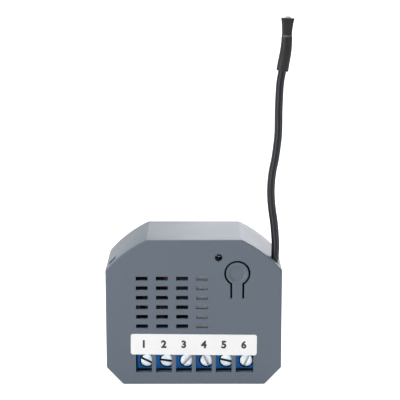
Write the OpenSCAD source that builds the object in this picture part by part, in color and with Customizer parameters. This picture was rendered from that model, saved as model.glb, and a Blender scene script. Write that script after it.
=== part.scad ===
// Smart relay module for a wall box: a two-part housing with a snap-on front cover, a row of
// screw terminals along the base, a push button cut into the cover and a stiff wire antenna.
// It stands on its base. X runs to the right, Y from the front to the back, Z up, in millimetres.

/* [Body] */
// Width across the flat sides
body_w = 44.5; // [42:0.5:52]
// Height from the flat base to the flat top
body_h = 38; // [36:0.5:46]
// Depth from the front face to the back face
body_d = 21; // [18.5:0.5:28]
// Width of the flat base between the lower chamfers
base_w = 36; // [33:0.2:40]
// Height of the lower chamfers
foot_h = 4.5; // [2:0.1:6]
// Height at which the sides turn into the rounded shoulders
shoulder_h = 30.1; // [27:0.1:33]
// Width of the flat top between the shoulders
top_w = 24; // [20:0.2:32]
// Radius of the rounded shoulders
shoulder_r = 32; // [24:1:60]
// Rounding of the front and back edges
edge_r = 0.6; // [0.2:0.1:1]

/* [Case and cover] */
// Wall thickness of the rear case
wall = 1.5; // [1.2:0.1:2]
// Thickness of the cover's face
cover_t = 1.5; // [1.2:0.1:2]
// Depth of the cover's rim from the front face to the seam
rim_d = 2.2; // [2:0.1:3]
// Thickness of the cover's locating lip
lip_t = 1; // [0.8:0.1:1.4]
// Length of the locating lip past the seam
lip_d = 2.2; // [1.8:0.1:3]
// Clearance between the locating lip and the case
lip_gap = 0.1; // [0.05:0.05:0.2]
// Length of each snap ridge
snap_len = 9; // [5:0.5:12]
// Radius of the snap ridges
snap_r = 0.5; // [0.4:0.05:0.6]
// How far a snap ridge stands out of the lip
snap_h = 0.35; // [0.2:0.05:0.4]

/* [Vents] */
// Columns of vent slots
vent_cols = 4; // [2:1:4]
// Rows of vent slots
vent_rows = 6; // [3:1:6]
// Width of a vent slot
vent_w = 3; // [2:0.1:4]
// Height of a vent slot
vent_h = 1; // [0.5:0.1:1.2]
// Distance between the columns
vent_pitch_x = 5.08; // [4.5:0.02:5.5]
// Distance between the rows
vent_pitch_z = 2.5; // [2:0.02:2.8]
// Distance of the first column's centre to the left of the first terminal window's centre
vent_inset = 0.4; // [-1:0.1:2]
// Distance of the first row's centre below the flat top
vent_drop = 10; // [8:0.1:12]

/* [Button] */
// Distance of the button's centre from the right side
button_inset = 11.3; // [10:0.1:13]
// Distance of the button's centre below the flat top
button_drop = 8.7; // [8:0.05:12]
// Diameter of the round pad
pad_d = 5.65; // [4.5:0.05:7]
// Width of the slot round the tongue
key_gap = 0.48; // [0.3:0.02:0.8]
// Width of the springy stem
stem_w = 2.55; // [1.8:0.05:3.5]
// Length of the stem from its root to the pad's centre
stem_len = 6.5; // [5:0.1:9]
// Thickness of the tongue and of the thinned face round it
tongue_t = 0.9; // [0.8:0.05:1.4]
// Diameter of the shallow dish in the pad
dish_d = 3.8; // [2:0.1:4]
// Depth of the dish
dish_depth = 0.12; // [0.05:0.01:0.25]
// Diameter of the pip that presses the switch
pip_d = 2.4; // [1.5:0.1:3]
// Length of the pip behind the tongue
pip_h = 0.8; // [0.3:0.05:1]
// Travel of the button at the pad's centre
press_travel = 0.3; // [0.2:0.05:0.4]

/* [Indicator] */
// Distance of the indicator hole from the right side
led_inset = 16; // [12:0.1:18]
// Distance of the indicator hole below the flat top
led_drop = 4.6; // [4:0.05:6]
// Diameter of the indicator hole
led_hole_d = 1.9; // [1.5:0.1:3]
// Diameter of the indicator lamp
led_d = 2.9; // [1.8:0.1:3.2]
// Height of the indicator lamp's body
led_h = 4; // [3:0.1:5.5]
// Width of the rim round the foot of the indicator lamp
led_rim = 0.3; // [0.2:0.05:0.5]
// Depth of the indicator lamp behind the cover's face
led_recess = 2.6; // [1:0.1:4]

/* [Terminals] */
// Distance between neighbouring terminals
pitch = 5.08; // [5:0.02:5.2]
// Height of the row of screws above the base
screw_z = 5.7; // [5.5:0.1:7.5]
// Sideways offset of the terminal blocks from the windows
block_shift = 0.75; // [0:0.05:0.8]
// Width of a terminal window
window_w = 4.05; // [3.5:0.05:4.4]
// Extra width of the last terminal window on its right
window_extra = 0.45; // [0:0.05:0.6]
// Height of a terminal window
window_h = 5.25; // [4.5:0.05:6]
// Distance from the screw axis down to the window's lower edge
window_drop = 2.45; // [2.3:0.05:3]
// Height of a terminal block along the wire's direction
block_h = 11; // [9.5:0.1:12]
// Distance from the screw axis down to the block's lower face
block_drop = 2.2; // [2.15:0.05:3]
// Gap between the cover and the terminal blocks
block_gap = 0.85; // [0.75:0.05:1]
// Chamfer along the block's upper front edge
block_chamfer = 1.5; // [0.5:0.1:2.5]
// Thickness of the block's floor on the circuit board
block_floor = 1; // [0.6:0.1:1.4]
// Diameter of a screw head
head_d = 3.3; // [2.8:0.05:3.4]
// Height of a screw head
head_h = 1.3; // [1:0.05:1.6]
// Width of the driver slot
slot_w = 0.5; // [0.3:0.05:0.8]
// Depth of the driver slot
slot_depth = 0.6; // [0.4:0.05:0.9]
// Diameter of the screw's shank
shank_d = 2.3; // [2:0.05:2.4]
// Rise of the clamp for one turn of the screw
thread_pitch = 0.5; // [0.4:0.05:0.5]
// Turns of the screw from open to closed
screw_turns = 4; // [3:1:4]
// Width of a clamp cage
cage_w = 3.5; // [3.3:0.05:3.6]
// Length of a clamp cage along the wire
cage_len = 3.2; // [3:0.1:3.6]
// Thickness of the cage's side walls
cage_t = 0.45; // [0.3:0.05:0.5]
// Thickness of the cage's threaded plate
cage_nut_t = 1.2; // [0.9:0.1:1.4]
// Thickness of the cage's pressing plate
cage_floor_t = 0.8; // [0.6:0.1:1]
// Height of the open space for the wire
wire_gap = 2.6; // [2.2:0.1:2.8]
// Thickness of the contact bar
bar_t = 0.8; // [0.5:0.05:1]
// Width of the contact bar
bar_w = 2.1; // [1.6:0.1:2.2]
// Diameter of a terminal's solder pin
pin_d = 1; // [0.8:0.05:1.2]
// Width of a wire entry
entry_w = 3.3; // [2.6:0.1:3.4]

/* [Label] */
// Width of the terminal label
label_w = 32; // [28:0.5:34]
// Height of the terminal label
label_h = 5.45; // [4.5:0.05:6]
// Thickness of the terminal label
label_t = 0.12; // [0.08:0.01:0.2]
// Corner radius of the terminal label
label_r = 0.6; // [0.3:0.1:1.5]
// Height of the label's centre above the screw axis
label_rise = 4.95; // [4.2:0.05:5.5]
// Angle at which the label sits, its right end lower
label_tilt = 0.5; // [0:0.1:1.5]

/* [Circuit board] */
// Thickness of the circuit board
pcb_t = 1.6; // [1:0.1:2]
// Gap between the board's edge and the case
pcb_gap = 0.4; // [0.2:0.05:0.6]
// Height of the case's posts that carry the board
post_h = 3.9; // [3:0.1:4.5]
// Diameter of the posts
post_d = 4; // [3:0.1:4.4]
// Height of the lower posts above the chamfers
post_rise = 3.5; // [3:0.1:4.5]
// Distance of the upper posts below the shoulders
post_drop = 0.7; // [0.4:0.1:2]
// Distance of the posts from the board's edge
post_inset = 2.5; // [2.2:0.1:3]
// Diameter of the locating pips on the posts
post_pip_d = 1.8; // [1.2:0.1:2.2]
// Length of the lead tails behind the board
lead_tail = 1.2; // [0.8:0.1:1.6]
// Clearance round a lead in the board
lead_gap = 0.15; // [0.1:0.05:0.25]

/* [Relay] */
// Width of the relay
relay_w = 8.2; // [7.8:0.1:8.6]
// Distance of the relay's centre from the right side
relay_inset = 19; // [18.6:0.1:20]
// Gap between the relay and the cover
relay_gap = 0.3; // [0.3:0.1:1.2]
// Gap between the relay and the terminal blocks
relay_clear = 0.7; // [0.4:0.1:1]
// Wall thickness of the relay's case
relay_wall = 0.7; // [0.5:0.05:0.8]
// Thickness of the relay's base
relay_base_t = 1.4; // [1:0.1:1.8]
// Thickness of the relay's yoke
yoke_t = 0.9; // [0.7:0.05:1.1]
// Diameter of the coil's core
core_d = 2.4; // [2:0.1:2.8]
// Diameter of the coil's flanges
flange_d = 6; // [5.4:0.1:6.2]
// Angle through which the armature swings
armature_swing = 2.5; // [1.5:0.1:2.8]
// Distance from the cover side of the relay's case to the armature's pivot
pivot_depth = 2.85; // [2.6:0.05:3]
// Distance from the lower wall of the relay's case to the armature's pivot
pivot_rise = 0.75; // [0.6:0.05:1]
// Distance from the armature's contact to the upper wall of the relay's case
contact_room = 3.2; // [3:0.1:4]

/* [Switch] */
// Width of the push switch
switch_w = 6; // [5.5:0.1:6.2]
// Height of the push switch's body
switch_h = 3.5; // [3:0.1:4.5]
// Diameter of the push switch's plunger
plunger_d = 3.5; // [2.5:0.1:3.8]

/* [Power supply] */
// Diameter of the bulk capacitor
bulk_d = 6.3; // [5:0.1:6.6]
// Height of the bulk capacitor
bulk_h = 9.2; // [7:0.1:9.6]
// Length of the filter capacitor
film_len = 10.5; // [8:0.1:13.2]
// Thickness of the filter capacitor
film_t = 5; // [4:0.1:5.2]
// Height of the filter capacitor
film_h = 8.5; // [7:0.1:9.5]
// Diameter of the varistor disc
varistor_d = 7; // [6:0.1:7.4]
// Thickness of the varistor disc
varistor_t = 2.8; // [2.4:0.1:3.5]
// Diameter of the inductor's flanges
inductor_d = 6; // [5:0.1:6.6]
// Height of the inductor
inductor_h = 7; // [5:0.1:9]
// Diameter of the fuse resistor
resistor_d = 2.8; // [2:0.1:3]
// Length of the fuse resistor's body
resistor_len = 7.5; // [6:0.1:8]
// Clearance between neighbouring parts on the board
part_gap = 0.7; // [0.5:0.05:0.8]

/* [Radio] */
// Thickness of the upright radio board
radio_t = 1; // [0.8:0.1:1.2]
// Length of the radio board along the case's height
radio_len = 10.8; // [9:0.1:11]
// Height of the radio board above the circuit board
radio_h = 8.5; // [7:0.1:9]
// Distance of the radio board from the inner right wall
radio_inset = 4.4; // [3.8:0.1:4.8]
// Height of the shield can over the radio board
shield_h = 1.8; // [1:0.1:1.9]
// Distance between the radio board's leads
header_pitch = 2.54; // [2:0.02:2.6]
// Height of the controller's centre above the radio board's lower edge
chip_rise = 5; // [3:0.1:6]

/* [Antenna] */
// Diameter of the antenna wire
wire_d = 1.9; // [1.4:0.05:2]
// Direction of the antenna's exit above the horizontal
exit_angle = 45; // [44:0.5:46]
// Clearance round the antenna in its notch
notch_gap = 0.25; // [0.2:0.05:0.4]
// Clearance between the antenna wire and its end sleeve
sleeve_gap = 0.08; // [0.05:0.01:0.12]

/* [Hidden] */
$fn = 64;

// Colours of the finishes
housing_grey = [0.42, 0.45, 0.49];
label_white = [0.97, 0.97, 0.97];
board_green = [0.05, 0.25, 0.14];
terminal_blue = [0.06, 0.25, 0.52];
bright_steel = [0.8, 0.81, 0.83];
tin_grey = [0.7, 0.7, 0.72];
relay_beige = [0.66, 0.66, 0.64];
part_black = [0.06, 0.06, 0.07];
copper = [0.72, 0.36, 0.16];
varistor_red = [0.55, 0.14, 0.08];
sleeve_black = [0.12, 0.12, 0.13];

// Working clearances and overlaps
over = 1;
fuse = 0.3;
run_gap = 0.15;
fit_gap = 0.08;
slice_t = 0.01;
slab_inset = 0.02;

// Planes along the depth, with the box centred on the origin
front_y = -(body_d - label_t) / 2;
back_y = front_y + body_d;
face_y = front_y + cover_t;
seam_y = front_y + rim_d;
pcb_back = back_y - wall - post_h;
pcb_y = pcb_back - pcb_t;

// Insets of the cover's locating lip from the outline
lip_out = wall + lip_gap;
lip_in = lip_out + lip_t;

// Lower chamfers and rounded shoulders of the outline
foot_run = (body_w - base_w) / 2;
foot_len = norm([foot_run, foot_h]);
shoulder_chord = norm([(body_w - top_w) / 2, body_h - shoulder_h]);
shoulder_sag = sqrt(shoulder_r * shoulder_r - shoulder_chord * shoulder_chord / 4);
shoulder_x = (body_w + top_w) / 4 - shoulder_sag * (body_h - shoulder_h) / shoulder_chord;
shoulder_z = (shoulder_h + body_h) / 2 - shoulder_sag * (body_w - top_w) / 2 / shoulder_chord;

// Button and indicator on the cover
button_x = body_w / 2 - button_inset;
button_z = body_h - button_drop;
root_z = button_z - stem_len;
led_x = body_w / 2 - led_inset;
led_z = body_h - led_drop;
led_flange_d = led_d + 2 * led_rim;

// Thinned part of the cover's face above the label
thin_rim = 0.6;
thin_z = screw_z + label_rise + label_h / 2 + thin_rim;

// Terminal row
poles = 6;
slot_angles = [-27, -8, 48, -65, -13, 68];
window_z = screw_z - window_drop;
block_z = screw_z - block_drop;
block_top = block_z + block_h;
block_y = face_y + block_gap;
head_y = block_y - fit_gap;
seat_y = head_y + head_h + fit_gap;
clamp_travel = thread_pitch * screw_turns;
cage_z = screw_z - cage_len / 2;
cage_back = pcb_y - block_floor - run_gap;
cage_floor = cage_back - cage_floor_t;
bar_back = cage_floor - wire_gap;
bar_y = bar_back - bar_t;
nut_back = bar_y - fit_gap;
nut_y = nut_back - cage_nut_t;
cavity_y = nut_y - clamp_travel - run_gap;
cavity_back = cage_back + run_gap;
screw_tip = bar_y - fit_gap;
contact_pin_z = cage_z + cage_len + 2;

// Relay mechanism
relay_x = body_w / 2 - relay_inset;
relay_z = block_top + relay_clear;
relay_len = led_z - led_flange_d / 2 - part_gap - relay_z;
relay_y = face_y + relay_gap;
relay_floor = pcb_y - relay_base_t;
relay_lead_x = 2.7;
relay_lead_z = 1.6;
pivot_y = relay_y + relay_wall + pivot_depth;
pivot_z = relay_z + relay_wall + pivot_rise;
yoke_z = pivot_z - yoke_t / 2;
pole_gap = 0.12;
pole_y = pivot_y + pole_gap;
pole_t = 0.45;
pole_d = 4.2;
coil_rise = 0.3;
core_z = yoke_z + yoke_t + coil_rise + flange_d / 2;
coil_y = pole_y + pole_t + fit_gap;
coil_back = relay_floor - yoke_t - fit_gap;
blade_t = 0.3;
blade_w = 2.2;
armature_w = 4.8;
armature_t = 0.8;
rivet_d = 1.8;
rivet_h = 0.3;
rivet_y = -armature_t - blade_t - rivet_h + 0.05;
rivet_back = rivet_y + 2 * rivet_h + blade_t;
contact_z = relay_z + relay_len - relay_wall - contact_room;
contact_arm = contact_z - pivot_z;
no_face = pivot_y + rivet_back + fit_gap;
nc_reach = -rivet_y * cos(armature_swing) + (contact_arm + rivet_d / 2) * sin(armature_swing);
nc_face = pivot_y - nc_reach - fit_gap;
strip_end = 1;
no_rise = 1.5;
nc_rise = 2.4;
no_z = contact_z + no_rise;
nc_z = contact_z + nc_rise;

// Push switch under the button
tongue_back = front_y + tongue_t;
plunger_y = tongue_back + pip_h + fit_gap;
switch_y = pcb_y - switch_h;
plunger_back = switch_y + 1.2;

// Parts on the left of the circuit board
left_x = -body_w / 2 + wall + pcb_gap + part_gap;
parts_z = block_top + part_gap;
bulk_x = left_x + bulk_d / 2;
bulk_z = parts_z + bulk_d / 2;
inductor_x = left_x + bulk_d + part_gap + inductor_d / 2;
inductor_z = parts_z + inductor_d / 2;
film_x = left_x + film_len / 2;
film_z = parts_z + bulk_d + part_gap + film_t / 2;
varistor_x = left_x + film_len + part_gap + varistor_t / 2;
varistor_z = parts_z + inductor_d + part_gap + varistor_d / 2;
varistor_y = pcb_y - 0.8 - varistor_d / 2;
resistor_shift = 3;
resistor_x = varistor_x - resistor_shift;
resistor_z = varistor_z + varistor_d / 2 + part_gap + resistor_d / 2;
resistor_y = pcb_y - 0.5 - resistor_d / 2;
resistor_lead = resistor_len / 2 + 1.2;

// Radio board, its shield and the controller
radio_x = body_w / 2 - wall - radio_inset;
radio_z = block_top + 1;
header_z = 1.6;
chip_w = 5;
chip_t = 0.9;
chip_x = button_x + 1.5;
chip_z = radio_z + chip_rise;

// Posts of the case
post_x = body_w / 2 - wall - pcb_gap - post_inset;
post_low_z = foot_h + post_rise;
post_high_z = shoulder_h - post_drop;

// Leads through the circuit board: place and diameter
thin_lead = 0.6;
terminal_leads = [for (i = [0 : poles - 1]) [pole_x(i), contact_pin_z]];
relay_leads = [
    [relay_x - relay_lead_x, relay_z + relay_lead_z],
    [relay_x + relay_lead_x, relay_z + relay_lead_z],
    [relay_x, relay_z + relay_len / 2],
    [relay_x - relay_lead_x, relay_z + relay_len - relay_lead_z],
    [relay_x + relay_lead_x, relay_z + relay_len - relay_lead_z]
];
switch_leads = [for (sx = [-1, 1], sz = [-1, 1])
    [button_x + sx * (switch_w / 2 - 0.5), button_z + sz * 2.25]];
led_leads = [for (s = [-1, 1]) [led_x + s * 0.9, led_z]];
bulk_leads = [for (s = [-1, 1]) [bulk_x + s * 1.75, bulk_z]];
film_leads = [for (s = [-1, 1]) [film_x + s * (film_len / 2 - 1.5), film_z]];
varistor_leads = [for (s = [-1, 1]) [varistor_x, varistor_z + s * 2.5]];
resistor_leads = [for (s = [-1, 1]) [resistor_x + s * resistor_lead, resistor_z]];
inductor_leads = [for (s = [-1, 1]) [inductor_x + s * 1.5, inductor_z]];
radio_leads = [for (k = [0 : 3]) [radio_x + radio_t / 2, radio_z + header_z + header_pitch * k]];
thin_leads = concat(relay_leads, switch_leads, led_leads, bulk_leads, film_leads,
    varistor_leads, resistor_leads, inductor_leads, radio_leads);

// Antenna: a stiff wire from its pad on the board, through the notch and up beside the case
antenna_y = seam_y + wire_d / 2 + 0.05;
notch_w = wire_d + 2 * notch_gap;
inner_route = [
    [16.3, pcb_y, 28], [16.3, antenna_y + 7.2, 28], [16.3, antenna_y + 4.2, 28],
    [16.7, antenna_y + 2, 28.3], [17.8, antenna_y + 0.55, 29.15], [19.45, antenna_y, 30.65],
    [20.2, antenna_y, 31.35], [20.7, antenna_y, 31.95]
];
outer_route = [for (p = [
    [20.85, 32.9], [20.85, 34], [20.83, 36], [20.5, 39], [20.1, 42], [19.65, 45], [19.4, 48],
    [19.35, 51], [19.65, 54.5], [20.3, 58], [20.7, 61], [20.95, 64], [21, 67], [21, 70],
    [21.1, 73.5], [21.3, 77]
]) [p.x, antenna_y, p.y]];
sleeve_route = [for (p = [[21.75, 79.7], [22.15, 82], [22.5, 84], [22.75, 86], [22.85, 87.5]])
    [p.x, antenna_y, p.y]];
wire_route = concat(inner_route, outer_route, sleeve_route);

// End sleeve: half depth and half width at each ring, then the crimped neck and the flared tip
sleeve_body = [1.62, 1.59, 1.57, 1.54, 1.5];
tip_route = [for (p = [[22.86, 88.5], [22.88, 89.2], [22.92, 91], [23, 93.2], [23, 93.5]])
    [p.x, antenna_y, p.y]];
tip_depth = [1.08, 0.8, 0.68, 0.62, 0.5];
tip_width = [1.46, 1.42, 1.5, 1.76, 1.68];

// Centre of a terminal along the row
function pole_x(i) = (i - (poles - 1) / 2) * pitch + block_shift;

// Centre of a terminal window along the row
function window_x(i) = (i - (poles - 1) / 2) * pitch;

// Vector of length one
function unit(v) = v / norm(v);

// Direction of a route at one of its points
function heading(route, i) =
    unit(route[min(i + 1, len(route) - 1)] - route[max(i - 1, 0)]);

// Ring of points round a route, with a half depth a and a half width b
ring_side = unit([1, 0, -1]);
function ring(p, t, a, b, sides) =
    let (u = unit(cross(t, ring_side)), v = cross(t, u))
    [for (k = [0 : sides - 1])
        p + a * cos(360 * (k + 0.5) / sides) * u + b * sin(360 * (k + 0.5) / sides) * v];

// Solid swept through a list of rings with equal numbers of points
module sweep(rings) {
    n = len(rings[0]);
    last = len(rings) - 1;
    points = [for (r = rings) each r];
    sides = [for (i = [0 : last - 1], k = [0 : n - 1]) let (a = i * n + k, b = i * n + (k + 1) % n)
        each [[a, b + n, b], [a, a + n, b + n]]];
    caps = [[for (k = [0 : n - 1]) k], [for (k = [n - 1 : -1 : 0]) last * n + k]];
    polyhedron(points, concat(sides, caps));
}

// Flat shape in X and Z, drawn through a range of depths
module at_depth(y0, y1) {
    translate([0, y1, 0])
        rotate([90, 0, 0])
            linear_extrude(height = y1 - y0)
                children();
}

// Round bar along the depth
module bar_y_axis(x, z, y0, y1, d) {
    translate([x, y0, z])
        rotate([-90, 0, 0])
            cylinder(d = d, h = y1 - y0);
}

// Turned shape whose profile runs along the depth from y0
module turned(x, z, y0) {
    translate([x, y0, z])
        rotate([-90, 0, 0])
            rotate_extrude()
                children();
}

// Block between two corners
module block(low, high) {
    translate(low)
        cube(high - low);
}

// Rectangle with round corners, centred
module rounded_rect(w, h, r) {
    square([w - 2 * r, h], center = true);
    square([w, h - 2 * r], center = true);
    for (sx = [-1, 1], sz = [-1, 1])
        translate([sx * (w / 2 - r), sz * (h / 2 - r)])
            circle(r);
}

// Space between the lower chamfers
module foot_space(inset) {
    half = base_w / 2 - inset * foot_len / foot_h;
    spread = half + body_h * foot_run / foot_h;
    polygon([[-half, 0], [half, 0], [spread, body_h], [-spread, body_h]]);
}

// Space below the right-hand rounded shoulder, with all of the left half
module shoulder_space(inset) {
    translate([shoulder_x, shoulder_z])
        circle(r = shoulder_r - inset, $fn = 128);
    translate([-body_w, -over])
        square([body_w, body_h + 2 * over]);
}

// Outline of the housing, moved inwards by an inset
module outline(inset) {
    intersection() {
        translate([-body_w / 2 + inset, inset])
            square([body_w - 2 * inset, body_h - 2 * inset]);
        foot_space(inset);
        shoulder_space(inset);
        mirror([1, 0])
            shoulder_space(inset);
    }
}

// Thin slice of the housing for the rounded edges
module slice(y, inset) {
    at_depth(y - slice_t / 2, y + slice_t / 2)
        outline(inset);
}

// Housing slab from one depth to another, with a rounded edge at its far end
module rounded_slab(y0, y1) {
    side = sign(y1 - y0);
    hull() {
        slice(y0 + side * slice_t / 2, slab_inset);
        for (a = [0 : 30 : 90])
            slice(y1 - side * (edge_r * (1 - sin(a)) + slice_t / 2),
                slab_inset + edge_r * (1 - cos(a)));
    }
}

// Snap ridges on both sides of the lip, or their grooves when grown by a gap
module snap_ridges(gap) {
    for (s = [-1, 1])
        translate([s * (body_w / 2 - lip_out - snap_r + snap_h), seam_y + lip_d - 0.9,
            (foot_h + shoulder_h) / 2])
            cylinder(r = snap_r + gap, h = snap_len + 2 * gap, center = true);
}

// Ways out for the antenna through both shoulders, open towards the front
module antenna_ways(depth) {
    reach = lip_in + 2 * over;
    for (s = [0, 1])
        mirror([s, 0, 0])
            translate([shoulder_x, seam_y - over, shoulder_z])
                rotate([0, -exit_angle, 0])
                    translate([shoulder_r - lip_in - over, 0, -notch_w / 2])
                        cube([reach, depth + over, notch_w]);
}

// Locating lip of the cover, cut away at the antenna's ways out
module locating_lip() {
    difference() {
        at_depth(seam_y - fuse, seam_y + lip_d)
            difference() {
                outline(lip_out);
                outline(lip_in);
            }
        translate([0, over, 0])
            antenna_ways(lip_d + over);
    }
}

// Flat pattern of the vent slots
module vent_pattern() {
    for (c = [0 : vent_cols - 1], r = [0 : vent_rows - 1])
        translate([window_x(0) - vent_inset + c * vent_pitch_x,
            body_h - vent_drop - r * vent_pitch_z])
            square([vent_w, vent_h], center = true);
}

// Flat pattern of the terminal windows
module window_pattern() {
    for (i = [0 : poles - 1])
        translate([window_x(i) - window_w / 2, window_z])
            square([window_w + (i == poles - 1 ? window_extra : 0), window_h]);
}

// Flat shape of the button's tongue, grown by a gap
module key_shape(gap) {
    translate([button_x, button_z])
        circle(d = pad_d + 2 * gap);
    translate([button_x - stem_w / 2 - gap, root_z])
        square([stem_w + 2 * gap, stem_len]);
}

// Front cover with its vents, windows, indicator hole and button cut-out
module front_cover() {
    color(housing_grey)
        union() {
            difference() {
                union() {
                    at_depth(front_y + edge_r, seam_y)
                        outline(0);
                    rounded_slab(seam_y - fuse, front_y);
                    snap_ridges(0);
                }
                at_depth(face_y, seam_y + lip_d + over)
                    outline(lip_in);
                at_depth(front_y + tongue_t, face_y + over)
                    intersection() {
                        outline(lip_in + thin_rim);
                        translate([-body_w / 2, thin_z])
                            square([body_w, body_h]);
                    }
                at_depth(front_y - over, face_y + over) {
                    vent_pattern();
                    window_pattern();
                    key_shape(key_gap);
                    translate([led_x, led_z])
                        circle(d = led_hole_d);
                }
            }
            locating_lip();
        }
}

// Rear case with board posts, wire entries, snap grooves and the antenna's ways out
module rear_case() {
    color(housing_grey)
        union() {
            difference() {
                union() {
                    at_depth(seam_y, back_y - edge_r)
                        outline(0);
                    rounded_slab(back_y - edge_r - fuse, back_y);
                }
                at_depth(seam_y - over, back_y - wall)
                    outline(wall);
                snap_ridges(fit_gap);
                antenna_ways(notch_w);
                for (i = [0 : poles - 1])
                    block([pole_x(i) - entry_w / 2, bar_back - run_gap, -over],
                        [pole_x(i) + entry_w / 2, cage_floor + run_gap, wall + over]);
            }
            for (s = [-1, 1], z = [post_low_z, post_high_z]) {
                bar_y_axis(s * post_x, z, pcb_back, back_y - wall + fuse, post_d);
                bar_y_axis(s * post_x, z, pcb_y + 0.1, pcb_back + fuse, post_pip_d);
            }
        }
}

// Button cut into the cover: a round pad on a springy stem, with a pip for the switch
module button_tongue() {
    dish_r = (dish_d * dish_d / 4 + dish_depth * dish_depth) / (2 * dish_depth);
    color(housing_grey)
        difference() {
            union() {
                at_depth(front_y, tongue_back)
                    key_shape(0);
                bar_y_axis(button_x, button_z, tongue_back - fuse, tongue_back + pip_h, pip_d);
            }
            translate([button_x, front_y + dish_depth - dish_r, button_z])
                sphere(r = dish_r, $fn = 128);
        }
}

// Adhesive label above the terminals
module terminal_label() {
    color(label_white)
        translate([0, 0, screw_z + label_rise])
            rotate([0, label_tilt, 0])
                at_depth(front_y - label_t, front_y)
                    rounded_rect(label_w, label_h, label_r);
}

// Circuit board with its lead holes and post holes
module circuit_board() {
    color(board_green)
        at_depth(pcb_y, pcb_back)
            difference() {
                outline(wall + pcb_gap);
                for (p = terminal_leads)
                    translate(p)
                        circle(d = pin_d + 2 * lead_gap);
                for (p = thin_leads)
                    translate(p)
                        circle(d = thin_lead + 2 * lead_gap);
                for (s = [-1, 1], z = [post_low_z, post_high_z])
                    translate([s * post_x, z])
                        circle(d = post_pip_d + 2 * lead_gap);
            }
}

// Leads that run from a depth through the circuit board
module leads(places, y0, d) {
    for (p = places)
        bar_y_axis(p.x, p.y, y0, pcb_back + lead_tail, d);
}

// Space for one terminal's screw, cage, wire and contact inside the block
module terminal_space(x) {
    bar_y_axis(x, screw_z, block_y - over, seat_y, head_d + 6 * fit_gap);
    bar_y_axis(x, screw_z, block_y, cavity_y + over, shank_d + 2 * run_gap);
    block([x - cage_w / 2 - run_gap, cavity_y, cage_z - run_gap],
        [x + cage_w / 2 + run_gap, cavity_back, cage_z + cage_len + run_gap]);
    block([x - entry_w / 2, bar_back - run_gap, block_z - over],
        [x + entry_w / 2, cage_floor + run_gap, cage_z]);
    block([x - bar_w / 2 - fit_gap, bar_y - fit_gap, cage_z],
        [x + bar_w / 2 + fit_gap, bar_back + fit_gap, contact_pin_z + pin_d]);
    bar_y_axis(x, contact_pin_z, bar_back, pcb_y + over, pin_d + 2 * fit_gap);
}

// Half of the terminal row: a blue block with three terminals
module terminal_block(first) {
    length = poles / 2 * pitch - fit_gap;
    color(terminal_blue)
        difference() {
            translate([pole_x(first) - pitch / 2 + fit_gap / 2, 0, 0])
                rotate([90, 0, 90])
                    linear_extrude(height = length)
                        polygon([
                            [block_y, block_z], [pcb_y, block_z], [pcb_y, block_top],
                            [block_y + block_chamfer, block_top],
                            [block_y, block_top - block_chamfer]
                        ]);
            for (i = [first : first + poles / 2 - 1])
                terminal_space(pole_x(i));
        }
}

// Contact bars of the terminals, each with its solder pin
module terminal_contacts() {
    color(tin_grey)
        for (i = [0 : poles - 1]) {
            block([pole_x(i) - bar_w / 2, bar_y, cage_z],
                [pole_x(i) + bar_w / 2, bar_back, contact_pin_z + pin_d - fit_gap]);
            leads([[pole_x(i), contact_pin_z]], bar_back - fuse, pin_d);
        }
}

// Slotted terminal screw, its slot turned as each one was left
module terminal_screw(i) {
    head_r = head_d / 2;
    shank_r = shank_d / 2;
    length = screw_tip - head_y;
    color(bright_steel)
        difference() {
            turned(pole_x(i), screw_z, head_y)
                polygon([
                    [0, 0], [head_r - 0.15, 0], [head_r, 0.15], [head_r, head_h],
                    [shank_r, head_h], [shank_r, length - 0.4], [shank_r - 0.4, length],
                    [0, length]
                ]);
            translate([pole_x(i), head_y, screw_z])
                rotate([0, -slot_angles[i], 0])
                    cube([head_d + over, 2 * slot_depth, slot_w], center = true);
        }
}

// Clamp cage that the screw draws up, with the wire and the contact bar inside it
module clamp_cage(i) {
    x = pole_x(i);
    inner = cage_w / 2 - cage_t;
    color(bright_steel)
        difference() {
            block([x - cage_w / 2, nut_y, cage_z], [x + cage_w / 2, cage_back, cage_z + cage_len]);
            block([x - inner, nut_back, cage_z - over],
                [x + inner, cage_floor, cage_z + cage_len + over]);
            bar_y_axis(x, screw_z, nut_y - over, nut_back + fuse, shank_d + 2 * fit_gap);
        }
}

// Base of the relay with its leads
module relay_base() {
    color(part_black)
        at_depth(relay_floor, pcb_y)
            translate([relay_x, relay_z + relay_len / 2])
                rounded_rect(relay_w, relay_len, 0.5);
    color(tin_grey)
        leads(relay_leads, pcb_y - fuse, thin_lead);
}

// Case of the relay, open towards its base
module relay_case() {
    color(relay_beige)
        translate([relay_x, 0, relay_z + relay_len / 2])
            difference() {
                at_depth(relay_y, relay_floor)
                    rounded_rect(relay_w, relay_len, 0.5);
                at_depth(relay_y + relay_wall, relay_floor + over)
                    square([relay_w - 2 * relay_wall, relay_len - 2 * relay_wall], center = true);
            }
}

// Yoke of the relay with the coil's core
module relay_yoke() {
    half = armature_w / 2;
    color(tin_grey)
        union() {
            block([relay_x - half, relay_floor - yoke_t, yoke_z],
                [relay_x + half, relay_floor, core_z + flange_d / 2]);
            block([relay_x - half, pivot_y + fit_gap, yoke_z],
                [relay_x + half, relay_floor, yoke_z + yoke_t]);
            bar_y_axis(relay_x, core_z, pole_y, relay_floor - fuse, core_d);
            bar_y_axis(relay_x, core_z, pole_y, pole_y + pole_t, pole_d);
        }
}

// Coil of the relay: a bobbin with its winding
module relay_coil() {
    bore_r = core_d / 2 + fit_gap;
    flange_r = flange_d / 2;
    flange_t = 0.6;
    winding_r = flange_r - 0.4;
    length = coil_back - coil_y;
    color(copper)
        turned(relay_x, core_z, coil_y)
            polygon([
                [bore_r, 0], [flange_r, 0], [flange_r, flange_t], [winding_r, flange_t],
                [winding_r, length - flange_t], [flange_r, length - flange_t],
                [flange_r, length], [bore_r, length]
            ]);
}

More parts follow.
